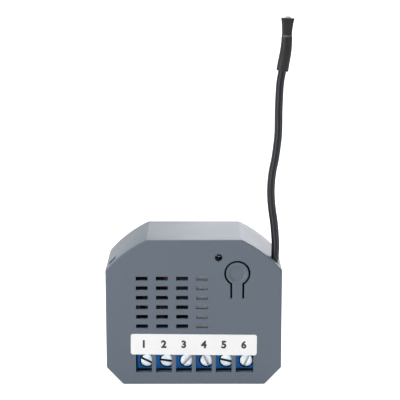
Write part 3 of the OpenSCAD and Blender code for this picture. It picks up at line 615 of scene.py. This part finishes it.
def turned(points, x, y, z):
    """Closed shape turned about a line along the depth, from pairs of radius and depth."""
    bm = bmesh.new()
    verts = [bm.verts.new((x + r, y + d, z)) for r, d in points]
    edges = [bm.edges.new(pair) for pair in zip(verts, verts[1:])]
    bmesh.ops.spin(bm, geom=verts + edges, cent=(x, 0, z), axis=(0, 1, 0), angle=2 * math.pi,
                   steps=SPIN_STEPS, use_merge=True)
    bmesh.ops.remove_doubles(bm, verts=bm.verts[:], dist=MERGE)
    bmesh.ops.recalc_face_normals(bm, faces=bm.faces[:])
    return bm


def raise_face(bm, faces, vec):
    """Pulls faces out along a vector, with walls behind them."""
    made = bmesh.ops.extrude_face_region(bm, geom=faces)
    grown = [v for v in made["geom"] if isinstance(v, bmesh.types.BMVert)]
    bmesh.ops.translate(bm, vec=vec, verts=grown)
    bmesh.ops.recalc_face_normals(bm, faces=bm.faces[:])


def cut_across(bm, z, dist=0):
    """Cuts a shape's faces at a height, without opening it."""
    whole = bm.verts[:] + bm.edges[:] + bm.faces[:]
    bmesh.ops.bisect_plane(bm, geom=whole, dist=dist, plane_co=(0, 0, z), plane_no=(0, 0, 1))


def prism(points, y0, y1):
    """Closed prism over an outline in X and Z, from one depth to another."""
    bm = bmesh.new()
    face = bm.faces.new([bm.verts.new((x, y0, z)) for x, z in points])
    raise_face(bm, [face], (0, y1 - y0, 0))
    return bm


def shoulder_centre():
    """Centre of the right shoulder's arc."""
    chord = Vector(((TOP_W - BODY_W) / 2, BODY_H - SHOULDER_H))
    middle = Vector(((BODY_W + TOP_W) / 4, (BODY_H + SHOULDER_H) / 2))
    reach = math.sqrt(SHOULDER_R ** 2 - chord.length_squared / 4)
    return middle + Vector((-chord.y, chord.x)) * reach / chord.length


SHOULDER = shoulder_centre()


def housing_outline(inset=0):
    """Outline moved inwards: flat base, lower chamfers, sides, rounded shoulders and flat top."""
    side, radius = BODY_W / 2 - inset, SHOULDER_R - inset
    rise = Vector((FOOT_RUN, FOOT_H)).normalized()
    foot = Vector((BASE_W / 2, 0)) + Vector((-rise.y, rise.x)) * inset
    right = [(foot.x + (inset - foot.y) * rise.x / rise.y, inset),
             (side, foot.y + (side - foot.x) * rise.y / rise.x)]
    low = math.acos((side - SHOULDER.x) / radius)
    high = math.asin((BODY_H - inset - SHOULDER.y) / radius)
    for step in range(SHOULDER_STEPS + 1):
        angle = low + (high - low) * step / SHOULDER_STEPS
        right.append((SHOULDER.x + radius * math.cos(angle), SHOULDER.y + radius * math.sin(angle)))
    return right + [(-x, z) for x, z in reversed(right)]


OUTLINE = housing_outline()
LIP_OUTLINE = housing_outline(WALL + LIP_GAP)
INNER_INSET = WALL + LIP_GAP + LIP_T


def round_outside(bm, y0, y1, radius):
    """Rounds a shell's outer corners, its far edge at y1 and, a little, its seam edge at y0."""
    along = [e for e in bm.edges if corner(e) > BENT
             and abs(sum(v.co.y for v in e.verts) - y0 - y1) < SAME
             and any(abs(v.co.y - y1) < SAME for v in e.verts)]
    soften(bm, along, CORNER_R, segments=3)
    far = [e for e in bm.edges if in_plane(e, 1, y1) and corner(e) > SHARP]
    soften(bm, far, radius, segments=6)
    seam = [e for e in bm.edges if in_plane(e, 1, y0) and corner(e) > SHARP and e.is_convex]
    soften(bm, seam, SEAM_R, segments=1)


def window_x(index):
    """Centre of a terminal window along the row."""
    return (index - (POLES - 1) / 2) * PITCH


def key_outline(gap):
    """Outline of the button's tongue, grown by a gap: a round pad on a straight stem."""
    radius = PAD_R + gap
    half = STEM_W / 2 + gap
    neck = math.asin(half / radius)
    points = [(BUTTON_X - half, ROOT_Z), (BUTTON_X + half, ROOT_Z)]
    for step in range(KEY_STEPS + 1):
        angle = neck - math.pi / 2 + (2 * math.pi - 2 * neck) * step / KEY_STEPS
        points.append((BUTTON_X + radius * math.cos(angle), BUTTON_Z + radius * math.sin(angle)))
    return points


def add_snaps(bm, gap):
    """Adds the snap ridges of the lip, grown by a gap."""
    for side in (-1, 1):
        x = side * (BODY_W / 2 - WALL - LIP_GAP - SNAP_R + SNAP_H)
        place = Matrix.Translation((x, SEAM_Y + LIP_D - SNAP_BACK, (FOOT_H + SHOULDER_H) / 2))
        bmesh.ops.create_cone(bm, cap_ends=True, segments=SNAP_STEPS, radius1=SNAP_R + gap,
                              radius2=SNAP_R + gap, depth=SNAP_LEN + 2 * gap, matrix=place)


def add_ways(bm, y0, y1):
    """Adds the antenna's ways out through both shoulders."""
    low = (SHOULDER_R - (INNER_INSET + OVER), y0, -WAY_W / 2)
    high = (SHOULDER_R + OVER, y1, WAY_W / 2)
    for side in (0, math.pi):
        flip = Matrix.Rotation(side, 4, "Z") @ Matrix.Diagonal((1, -1 if side else 1, 1, 1))
        turn = Matrix.Translation((SHOULDER.x, 0, SHOULDER.y)) @ Matrix.Rotation(-WAY_ANGLE, 4, "Y")
        add_box(bm, low, high, flip @ turn)


# Camera at the photograph's viewing angle, fitted in pixels of the 400 pixel frame

FRAME_PX = 400
FOCAL_PX = 1348.5
SENSOR = 36
CAMERA_TURN = math.radians(-0.103)
CAMERA_LIFT = math.radians(12.251)
CAMERA_AWAY = 354.4 * MM
CAMERA_RIGHT = 1.59 * MM
CAMERA_UP = 45 * MM
FIT_FRONT_Y = -10 * MM
CLIP_START = 0.02


def add_camera():
    """Camera that sees the module as the photograph does."""
    data = bpy.data.cameras.new("photo_camera")
    data.sensor_width = SENSOR
    data.lens = SENSOR * FOCAL_PX / FRAME_PX
    data.clip_start = CLIP_START
    camera = link("photo_camera", data)
    level = math.cos(CAMERA_LIFT)
    back = Vector((math.sin(CAMERA_TURN) * level, -math.cos(CAMERA_TURN) * level, math.sin(CAMERA_LIFT)))
    right = Vector((0, 0, 1)).cross(back).normalized()
    up = back.cross(right)
    place = back * CAMERA_AWAY + right * CAMERA_RIGHT + up * CAMERA_UP
    place += Vector((0, FRONT_Y - FIT_FRONT_Y, 0))
    axes = Matrix((right, up, back)).transposed()
    camera.matrix_world = Matrix.Translation(place) @ axes.to_4x4()
    bpy.context.scene.camera = camera


add_camera()


# Antenna: a stiff wire and its shrunk end sleeve

def wire_points():
    """Route of the wire from its pad on the board to its end in the sleeve."""
    outer = [(x, WIRE_Y, z) for x, z in WIRE_OUTER + SLEEVE_ROUTE]
    return [Vector(p) * MM for p in WIRE_INNER + outer]


def antenna_wire():
    """Wire as a smooth curve through its route."""
    curve = bpy.data.curves.new("antenna_lead", "CURVE")
    curve.dimensions = "3D"
    curve.bevel_depth = WIRE_R
    curve.bevel_resolution = 6
    curve.resolution_u = 10
    curve.use_fill_caps = True
    points = wire_points()
    spline = curve.splines.new("BEZIER")
    spline.bezier_points.add(len(points) - 1)
    for knot, point in zip(spline.bezier_points, points):
        knot.co = point
        knot.handle_left_type = "AUTO"
        knot.handle_right_type = "AUTO"
    return stands_for(link("antenna_lead", curve, wire_insulation), "antenna", "antenna_wire")


# Sleeve and its drop of glue, in millimetres
SLEEVE_SIDES = 28
SLEEVE_BORE = 1.06
SLEEVE_MOUTH = 1.2
TIP_MOUTH = 0.7
TIP_LIP = 0.16
SLEEVE_RIM = 0.14
DROP_HALF = (0.78, 0.36, 0.46)
DROP_Z = 92.8


def sleeve_frame(route, index, depth, width):
    """Place and size of one ring of the sleeve."""
    ahead = Vector(route[min(index + 1, len(route) - 1)])
    behind = Vector(route[max(index - 1, 0)])
    lean = math.atan2((ahead - behind).x, (ahead - behind).y)
    centre = Matrix.Translation(Vector((route[index][0], WIRE_Y, route[index][1])) * MM)
    return centre @ Matrix.Rotation(lean, 4, "Y") @ Matrix.Diagonal((width * MM, depth * MM, MM, 1))


def sleeve_rings():
    """Rings of the sleeve from inside its mouth, round its body and neck, into the flat tip's mouth."""
    route = SLEEVE_ROUTE + TIP_ROUTE
    depths = SLEEVE_HALF + TIP_DEPTH
    widths = SLEEVE_HALF + TIP_WIDTH
    body = [sleeve_frame(route, i, d, w) for i, (d, w) in enumerate(zip(depths, widths))]
    bore = sleeve_frame(route, 0, SLEEVE_BORE, SLEEVE_BORE)
    inside = [bore @ Matrix.Translation((0, 0, rise)) for rise in (SLEEVE_MOUTH, 0)]
    rim = Matrix.Translation((0, 0, SLEEVE_RIM))
    body[1:1] = [body[0] @ rim]
    body[-1:-1] = [body[-1] @ rim.inverted()]
    lip = sleeve_frame(route, len(route) - 1, depths[-1] - TIP_LIP, widths[-1] - TIP_LIP)
    mouth = [lip @ Matrix.Translation((0, 0, -drop)) for drop in (0, TIP_MOUTH)]
    return inside + body + mouth


def antenna_sleeve():
    """Sleeve drawn ring by ring along its route."""
    bm = bmesh.new()
    rings = sleeve_rings()
    bmesh.ops.create_circle(bm, segments=SLEEVE_SIDES, radius=1, cap_ends=True, matrix=rings[0])
    edges = bm.edges[:]
    for before, after in zip(rings, rings[1:]):
        grown = bmesh.ops.extrude_edge_only(bm, edges=edges)["geom"]
        verts = [g for g in grown if isinstance(g, bmesh.types.BMVert)]
        edges = [g for g in grown if isinstance(g, bmesh.types.BMEdge)
                 and all(v in verts for v in g.verts)]
        bmesh.ops.transform(bm, matrix=after @ before.inverted(), verts=verts)
    bmesh.ops.contextual_create(bm, geom=edges)
    bmesh.ops.recalc_face_normals(bm, faces=bm.faces[:])
    obj = piece("shrunk_sleeve", bm, sleeve_tube, smooth=60, even=False)
    rounding = obj.modifiers.new("rounding", "SUBSURF")
    rounding.levels = 2
    rounding.render_levels = 2
    return stands_for(obj, "sleeve", "antenna_sleeve")


def sleeve_drop():
    """Set drop of glue that closes the flat tip."""
    bm = bmesh.new()
    size = Matrix.Diagonal((*(h * MM for h in DROP_HALF), 1))
    place = Matrix.Translation(Vector((TIP_ROUTE[-1][0], WIRE_Y, DROP_Z)) * MM)
    bmesh.ops.create_uvsphere(bm, u_segments=24, v_segments=14, radius=1, matrix=place @ size)
    return stands_for(piece("sleeve_end_drop", bm, sleeve_glue, smooth=180, even=False), "sleeve")


lead = antenna_wire()
sleeve = antenna_sleeve()
drop = sleeve_drop()


# Housing

def cover_openings():
    """Cutters for the vents, terminal windows, indicator hole and button slot."""
    front, back = FRONT_Y - OVER, FRONT_Y + COVER_T + OVER
    bm = prism(key_outline(KEY_GAP), front, back)
    for column in range(VENT_COLS):
        x = window_x(column) - VENT_INSET
        for row in range(VENT_ROWS):
            z = BODY_H - VENT_DROP - row * VENT_PITCH_Z
            add_box(bm, (x - VENT_W / 2, front, z - VENT_H / 2), (x + VENT_W / 2, back, z + VENT_H / 2))
    for index in range(POLES):
        left = window_x(index) - WINDOW_W / 2
        right = left + WINDOW_W + (WINDOW_EXTRA if index == POLES - 1 else 0)
        add_box(bm, (left, front, WINDOW_LOW), (right, back, WINDOW_LOW + WINDOW_H))
    add_bar(bm, LAMP_X, LAMP_Z, front, back, LAMP_HOLE_R)
    return bm


def thinned_face():
    """Cutter that thins the face round the vents and the button from behind, above the label."""
    low = LABEL_Z + LABEL_H / 2 + THIN_RIM
    points = [(x, max(z, low)) for x, z in housing_outline(INNER_INSET + THIN_RIM)]
    return prism(points, FRONT_Y + TONGUE_T, FRONT_Y + COVER_T + OVER / 2)


def round_rims(bm):
    """Rounds the front rims of openings or of the tongue, but not the root that joins them."""
    rims = [e for e in bm.edges
            if in_plane(e, 1, FRONT_Y) and corner(e) > SHARP and not in_plane(e, 2, ROOT_Z)]
    soften(bm, rims, RIM_R)


def front_cover():
    """Cover shell with its locating lip and snap ridges, then its openings."""
    bm = prism(OUTLINE, SEAM_Y, FRONT_Y)
    round_outside(bm, SEAM_Y, FRONT_Y, EDGE_R)
    bm = carve(bm, prism(LIP_OUTLINE, SEAM_Y - LIP_D / 2, SEAM_Y + LIP_D), "UNION")
    bm = carve(bm, prism(housing_outline(INNER_INSET), FRONT_Y + COVER_T, SEAM_Y + 2 * LIP_D))
    ridges = bmesh.new()
    add_snaps(ridges, 0)
    bm = carve(bm, ridges, "UNION")
    ways = bmesh.new()
    add_ways(ways, SEAM_Y, SEAM_Y + LIP_D + OVER)
    bm = carve(bm, ways)
    bm = carve(bm, thinned_face())
    bm = carve(bm, cover_openings())
    round_rims(bm)
    return stands_for(piece("cover_shell", bm, housing_plastic), "housing", "front_cover")


def rear_case():
    """Case shell with its board posts, wire entries, snap grooves and the antenna's ways out."""
    bm = prism(OUTLINE, SEAM_Y, BACK_Y)
    round_outside(bm, SEAM_Y, BACK_Y, BACK_EDGE_R)
    bm = carve(bm, prism(housing_outline(WALL), SEAM_Y - LIP_D, BACK_Y - WALL))
    for y0, y1, radius, steps in (
            (board_high.y, BACK_Y - WALL / 2, POST_R, BAR_STEPS),
            (BOARD_Y + POST_PIP_SHORT, board_high.y + POST_PIP_ROOT, POST_PIP_R, POST_PIP_STEPS)):
        bars = bmesh.new()
        for side in (-1, 1):
            for z in POST_Z:
                add_bar(bars, side * POST_X, z, y0, y1, radius, steps)
        bm = carve(bm, bars, "UNION")
    cuts = bmesh.new()
    add_snaps(cuts, SNAP_GAP)
    add_ways(cuts, SEAM_Y - OVER, SEAM_Y + WAY_W)
    for index in range(POLES):
        x = window_x(index) + BLOCK_SHIFT
        low, high = (x - ENTRY_W / 2, ENTRY_Y[0], -OVER), (x + ENTRY_W / 2, ENTRY_Y[1], WALL + OVER)
        add_box(cuts, low, high)
    bm = carve(bm, cuts)
    soften(bm, [e for e in bm.edges if in_plane(e, 2, 0) and corner(e) > SHARP], RIM_R)
    return stands_for(piece("case_shell", bm, housing_plastic), "housing", "rear_case")


BEND_STEPS = 8


def button_tongue():
    """Pad and stem with the dish, the pip behind it, and cuts across the lower half of its stem."""
    bm = prism(key_outline(0), FRONT_Y, FRONT_Y + TONGUE_T)
    dish = [(r * MM, d * MM) for r, d in DISH]
    bm = carve(bm, turned([(0, dish[0][1])] + dish, BUTTON_X, FRONT_Y, BUTTON_Z))
    pip = bmesh.new()
    add_bar(pip, BUTTON_X, BUTTON_Z, FRONT_Y + TONGUE_T / 2, tongue_high.y, PIP_R)
    bm = carve(bm, pip, "UNION")
    round_rims(bm)
    for step in range(1, BEND_STEPS):
        cut_across(bm, ROOT_Z + STEM_LEN / 2 * step / BEND_STEPS, MERGE)
    obj = piece("push_tongue", bm, housing_plastic)
    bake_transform(obj)
    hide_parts("button_tongue")


front_cover()
rear_case()
button_tongue()


# Label with plain numbers

LABEL_PLACE = Matrix.Translation((0, FRONT_Y, LABEL_Z)) @ Matrix.Rotation(LABEL_TILT, 4, "Y")
UPRIGHT = Matrix.Rotation(math.pi / 2, 4, "X")


def label_film_piece():
    """Film with round corners and a softened front edge, tilted as it was stuck on."""
    bm = bmesh.new()
    size = Matrix.Diagonal((LABEL_W, LABEL_H, 1, 1))
    bmesh.ops.create_grid(bm, x_segments=1, y_segments=1, size=0.5, matrix=size)
    bmesh.ops.bevel(bm, geom=bm.verts[:], offset=LABEL_R, offset_type="OFFSET", affect="VERTICES",
                    segments=8, profile=0.5, material=-1)
    raise_face(bm, bm.faces[:], (0, 0, LABEL_T))
    soften(bm, [e for e in bm.edges if in_plane(e, 2, LABEL_T)], LABEL_T / 3)
    bmesh.ops.transform(bm, matrix=LABEL_PLACE @ UPRIGHT, verts=bm.verts[:])
    return stands_for(piece("label_film", bm, white_film), "label", "terminal_label")


def label_numbers():
    """Plain numbers printed over the terminals."""
    bm = bmesh.new()
    for index in range(POLES):
        text = bpy.data.curves.new("number", "FONT")
        text.body = str(index + 1)
        text.align_x = "CENTER"
        text.align_y = "CENTER"
        text.offset = DIGIT_SWELL
        text.extrude = 0.5 - DIGIT_BEVEL
        text.bevel_depth = DIGIT_BEVEL
        text.bevel_resolution = 0
        shape = link("number", text)
        view = bpy.context.evaluated_depsgraph_get()
        mesh = bpy.data.meshes.new_from_object(shape.evaluated_get(view))
        left, low = (min(v.co[axis] for v in mesh.vertices) for axis in (0, 1))
        right, high = (max(v.co[axis] for v in mesh.vertices) for axis in (0, 1))
        size = DIGIT_H / (high - low)
        mesh.transform(Matrix.Diagonal((size, size, DIGIT_T, 1))
                       @ Matrix.Translation((-(left + right) / 2, -(low + high) / 2, 0.5)))
        place = LABEL_PLACE @ Matrix.Translation((window_x(index), -LABEL_T, DIGIT_RISE))
        mesh.transform(place @ UPRIGHT)
        bm.from_mesh(mesh)
        bpy.data.meshes.remove(mesh)
        bpy.data.curves.remove(text)
    bmesh.ops.remove_doubles(bm, verts=bm.verts[:], dist=MERGE)
    return stands_for(piece("label_numbers", bm, dark_ink), "label")


label_film_piece()
label_numbers()


# Terminal screws

def screw_profile(radius, length):
    """Half section of a screw from the middle of its head to its tip, as radius and depth."""
    core = SHANK_R - THREAD_DEPTH
    return [
        (0, 0), (radius - 2 * HEAD_EDGE, 0), (radius - HEAD_EDGE, HEAD_EDGE / 5),
        (radius - HEAD_EDGE / 4, HEAD_EDGE / 2), (radius, HEAD_EDGE), (radius, HEAD_H), (core, HEAD_H),
        (core, length - SCREW_TIP), (core - SCREW_TIP, length), (0, length),
    ]


def add_thread(bm, x, y, z, length):
    """Adds a thread: a small ridge wound along the shank."""
    turns = int((length - HEAD_H - 2 * SCREW_TIP) / THREAD_PITCH)
    core = SHANK_R - THREAD_DEPTH - THREAD_SINK
    start_y = y + HEAD_H + THREAD_START
    ridge = [(core, 0), (SHANK_R, THREAD_PITCH * THREAD_CREST), (core, THREAD_PITCH * THREAD_FOOT)]
    verts = [bm.verts.new((x + r, start_y + d, z)) for r, d in ridge]
    face = bm.faces.new(verts)
    bmesh.ops.spin(bm, geom=[face] + list(face.edges) + verts, cent=(x, 0, z), axis=(0, 1, 0),
                   dvec=(0, THREAD_PITCH / THREAD_STEPS, 0), angle=2 * math.pi * turns,
                   steps=THREAD_STEPS * turns, use_merge=False)


def terminal_screw(index):
    """Slotted screw with a rounded head edge and a thread."""
    node = f"terminal_screw_{index + 1}"
    low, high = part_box(node)
    x, z = (low.x + high.x) / 2, (low.z + high.z) / 2
    bm = turned(screw_profile((high.x - low.x) / 2, high.y - low.y), x, low.y, z)
    slot = bmesh.new()
    angle = -math.radians(SLOT_ANGLES[index])
    turn = Matrix.Translation((x, low.y, z)) @ Matrix.Rotation(angle, 4, "Y")
    half = Vector((SLOT_REACH, SLOT_DEPTH, SLOT_W / 2))
    add_box(slot, -half, half, turn)
    bm = carve(bm, slot)
    # Faces inside the slot take the second finish, the painted slot shade
    for face in bm.faces:
        middle = turn.inverted() @ face.calc_center_median()
        deep = 0 < middle.y < SLOT_DEPTH + FACE_NEAR
        face.material_index = int(deep and abs(middle.z) < SLOT_W / 2 + FACE_NEAR)
    rims = [e for e in bm.edges if in_plane(e, 1, low.y) and corner(e) > SHARP]
    soften(bm, rims, SLOT_RIM)
    bmesh.ops.dissolve_degenerate(bm, dist=DEGENERATE, edges=bm.edges[:])
    thread = bmesh.new()
    add_thread(thread, x, low.y, z, high.y - low.y)
    bmesh.ops.recalc_face_normals(thread, faces=thread.faces[:])
    mesh = bpy.data.meshes.new("thread")
    thread.to_mesh(mesh)
    thread.free()
    bm.from_mesh(mesh)
    bpy.data.meshes.remove(mesh)
    # Slot faces take painted shade, dark or lighter by screw
    inside = painted_slot_shade if index + 1 in SHADED_SLOTS else painted_lit_slot
    obj = piece(f"slotted_screw_{index + 1}", bm, screw_steel, inside)
    return stands_for(obj, "screw_steel", node, body=f"screw_{index + 1}")


for index in range(POLES):
    terminal_screw(index)


# Pieces that keep the frame's shape, with softened edges and their finishes

def cad_copy(node, width):
    """Merged copy of a CAD node with its sharp outer edges rounded."""
    bm = bmesh.new()
    bm.from_mesh(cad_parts[node].data)
    bmesh.ops.remove_doubles(bm, verts=bm.verts[:], dist=WELD)
    bmesh.ops.dissolve_limit(bm, angle_limit=math.radians(CAD_FLAT), verts=bm.verts[:],
                             edges=bm.edges[:])
    soften(bm, [e for e in bm.edges if corner(e) > CAD_SHARP and e.is_convex], width)
    return bm


def dress(node, name, slot, width, *materials, choose=None, body=HOME):
    """Copy in place of a node, rounded by millimetres; choose gives a face's finish from its middle."""
    obj = piece(name, cad_copy(node, width * MM), *materials)
    if choose:
        for face in obj.data.polygons:
            face.material_index = choose(face.center)
    return stands_for(obj, slot, node, body=body)


def leads_behind(y):
    """Choice of the second finish for what lies behind a depth."""
    return lambda middle: 1 if middle.y > y else 0


LEADS_Y = BOARD_Y - LEAD_NEAR
LEADS = leads_behind(LEADS_Y)
coil_low, coil_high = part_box("relay_coil")
COIL_FLANGE = 0.62 * MM


def coil_finish(middle):
    """Copper between the flanges of the relay's bobbin."""
    return 1 if coil_low.y + COIL_FLANGE < middle.y < coil_high.y - COIL_FLANGE else 0


DRUM_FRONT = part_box("buck_inductor")[0].y
DRUM_FLANGE = 1.02 * MM


def drum_finish(middle):
    """Copper between the flanges of the inductor's drum, and leads behind the board's face."""
    if middle.y > LEADS_Y:
        return 2
    return 1 if DRUM_FRONT + DRUM_FLANGE < middle.y < BOARD_Y - DRUM_FLANGE else 0


resistor_low, resistor_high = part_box("fuse_resistor")
RESISTOR_LEN = 7.5 * MM
resistor_x = (resistor_low.x + resistor_high.x) / 2
BROWN, BLACK, GOLD = srgb(120, 60, 24), srgb(20, 20, 20), srgb(168, 132, 52)
resistor_coat = banded_coat("resistor_coat", srgb(128, 146, 158), resistor_x, RESISTOR_LEN,
                            [(0.16, BROWN), (0.36, BLACK), (0.56, BLACK), (0.8, GOLD)])


def resistor_finish(middle):
    """Tin on the resistor's bent leads."""
    return 1 if abs(middle.x - resistor_x) > RESISTOR_LEN / 2 + LEAD_NEAR else 0


BORE_R = 1.92 * MM
# Height of the blocks' upper strip that is painted darker as shade
BLOCK_SHADED_TOP = 1.6 * MM
BLOCK_EDGE = 0.04 * MM


def blue_block(side):
    """Terminal block with a ring of room round each screw head, its wall painted dark as shade, and
    painted shade on its upper strip.
    """
    node = f"terminal_block_{side}"
    low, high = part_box(node)
    shade_line = high.z - BLOCK_SHADED_TOP
    centres = [window_x(i) + BLOCK_SHIFT for i in range(POLES)]
    centres = [x for x in centres if low.x < x < high.x]
    bores = bmesh.new()
    for x in centres:
        add_bar(bores, x, SCREW_Z, low.y - HEAD_H, low.y + HEAD_H, BORE_R)
    bm = carve(cad_copy(node, BLOCK_EDGE), bores)
    cut_across(bm, shade_line)
    for face in bm.faces:
        middle = face.calc_center_median()
        reach = min(math.hypot(middle.x - x, middle.z - SCREW_Z) for x in centres)
        # Walls of the room round each head take the painted bore shade
        ring = reach < BORE_R + FACE_NEAR and low.y + FACE_NEAR < middle.y < low.y + 2 * HEAD_H
        # Upper strip takes the painted top shade, the bore walls the painted bore shade
        face.material_index = 2 if middle.z > shade_line else int(ring)
    obj = piece(f"blue_block_{side}", bm, block_plastic, painted_bore_shade, painted_top_shade)
    return stands_for(obj, "terminal_blue", node)


RELAY_DROP = 0.58 * MM
RELAY_FOOT = 0.3 * MM
RELAY_EDGE = 0.12 * MM


def relay_shell():
    """Relay's case, whose lower wall reaches down to the terminal blocks."""
    bm = cad_copy("relay_case", RELAY_EDGE)
    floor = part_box("relay_case")[0].z
    wall = [v for v in bm.verts if v.co.z < floor + RELAY_FOOT]
    bmesh.ops.translate(bm, vec=(0, 0, -RELAY_DROP), verts=wall)
    return stands_for(piece("relay_shell", bm, relay_plastic), "relay_case", "relay_case")


LAMP_BODY = 4.01 * MM
LAMP_LEADS = leads_behind(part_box("indicator_led")[0].y + LAMP_BODY)


for side in ("left", "right"):
    blue_block(side)
for index in range(1, POLES + 1):
    dress(f"clamp_cage_{index}", f"rising_cage_{index}", "clamp_steel", 0.08, clamp_steel,
          body=f"clamp_{index}")
dress("terminal_contacts", "contact_bars", "tin", 0.06, tinned_metal)
dress("circuit_board", "green_board", "board", 0.05, board_mask)
dress("relay_base", "relay_foot", "black_part", 0.08, black_plastic, tinned_metal, choose=LEADS)
relay_shell()
dress("relay_yoke", "relay_iron", "soft_iron", 0.06, soft_iron)
dress("relay_coil", "relay_winding", "copper", 0.05, bobbin_plastic, coil_copper, choose=coil_finish)
dress("relay_armature", "relay_flap", "soft_iron", 0.05, soft_iron, body="armature")
dress("relay_contact_no", "relay_make_strip", "copper", 0.04, contact_copper)
dress("relay_contact_nc", "relay_break_strip", "copper", 0.04, contact_copper)
dress("switch_body", "push_switch", "black_part", 0.08, black_plastic, tinned_metal, choose=LEADS)
dress("switch_plunger", "push_plunger", "black_part", 0.08, black_plastic, body="plunger")
dress("indicator_led", "indicator_lamp", "lamp", 0.04, lamp_resin, tinned_metal, choose=LAMP_LEADS)
dress("bulk_capacitor", "capacitor_can", "black_part", 0.08, can_sleeve, tinned_metal, choose=LEADS)
dress("filter_capacitor", "capacitor_box", "dark_box", 0.15, box_plastic, tinned_metal, choose=LEADS)
dress("varistor", "varistor_disc", "varistor", 0.1, varistor_coat, tinned_metal, choose=LEADS)
dress("fuse_resistor", "banded_resistor", "resistor", 0.1, resistor_coat, tinned_metal,
      choose=resistor_finish)
dress("buck_inductor", "drum_inductor", "copper", 0.08, ferrite, coil_copper, tinned_metal,
      choose=drum_finish)
dress("radio_board", "upright_board", "board", 0.05, board_mask, tinned_metal, choose=LEADS)
dress("radio_shield", "shield_can", "tin", 0.12, tinned_metal)
dress("controller_chip", "control_chip", "black_part", 0.06, black_plastic)


# Floor, lamps and white surroundings

def see_through_rays(tree):
    """One where a camera, glossy or transmission ray looks, so that these see the white surroundings."""
    rays = add(tree, "ShaderNodeLightPath").outputs
    seen = sums(tree, "MAXIMUM", rays["Is Camera Ray"], rays["Is Glossy Ray"])
    return sums(tree, "MAXIMUM", seen, rays["Is Transmission Ray"])


WHITE = (1, 1, 1, 1)
AMBIENT = 0.35
FLOOR_HALF = 3
FLOOR_TONE = 0.86
FLOOR_GLOW = 0.75


def white_world():
    """Even soft light, with a white background."""
    world = bpy.data.worlds.new("white_room")
    bpy.context.scene.world = world
    world.use_nodes = True
    tree = world.node_tree
    tree.nodes.clear()
    soft = add(tree, "ShaderNodeBackground", {"Color": WHITE, "Strength": AMBIENT})
    white = add(tree, "ShaderNodeBackground", {"Color": WHITE, "Strength": 1})
    mix = add(tree, "ShaderNodeMixShader", {
        0: see_through_rays(tree), 1: soft.outputs["Background"], 2: white.outputs["Background"]})
    add(tree, "ShaderNodeOutputWorld", {"Surface": mix.outputs["Shader"]})


def pale_floor():
    """Pale floor that keeps the object's shadow."""
    bm = bmesh.new()
    bmesh.ops.create_grid(bm, x_segments=1, y_segments=1, size=FLOOR_HALF)
    material, tree, shader, _ = start("pale_floor")
    shader.inputs["Base Color"].default_value = (FLOOR_TONE,) * 3 + (1,)
    shader.inputs["Roughness"].default_value = 0.9
    shader.inputs["Specular IOR Level"].default_value = 0
    shader.inputs["Emission Color"].default_value = WHITE
    glow = sums(tree, "MULTIPLY", see_through_rays(tree), FLOOR_GLOW)
    tree.links.new(glow, shader.inputs["Emission Strength"])
    piece("pale_floor", bm, material)


def add_lamp(name, place, aim, width, height, power, mirrored=True):
    """Soft lamp that shines from a place towards a point; glossy faces may leave it out."""
    data = bpy.data.lights.new(name, "AREA")
    data.shape = "RECTANGLE"
    data.size = width
    data.size_y = height
    data.energy = power
    lamp = link(name, data)
    lamp.location = place
    lamp.visible_camera = False
    lamp.visible_glossy = mirrored
    lamp.rotation_mode = "QUATERNION"
    lamp.rotation_quaternion = (Vector(aim) - Vector(place)).to_track_quat("-Z", "Y")


white_world()
pale_floor()
MIDDLE = (0, 0, BODY_H / 2)
STRIP_AIM = (0, 0, 0.255)
add_lamp("top_lamp", (-0.14, -0.1, 0.62), MIDDLE, width=0.45, height=0.45, power=2.3)
add_lamp("back_lamp", (0.33, 0.84, 0.46), MIDDLE, width=0.8, height=0.8, power=4.5)
add_lamp("left_strip", (-0.27, -0.18, 0.255), STRIP_AIM, width=0.08, height=0.5, power=0.68)
add_lamp("right_strip", (0.27, -0.18, 0.255), STRIP_AIM, width=0.08, height=0.5, power=0.03)
add_lamp("front_fill", (0, -0.36, 0.12), MIDDLE, width=0.12, height=0.12, power=0.13, mirrored=False)
bpy.context.scene.view_settings.view_transform = "Standard"
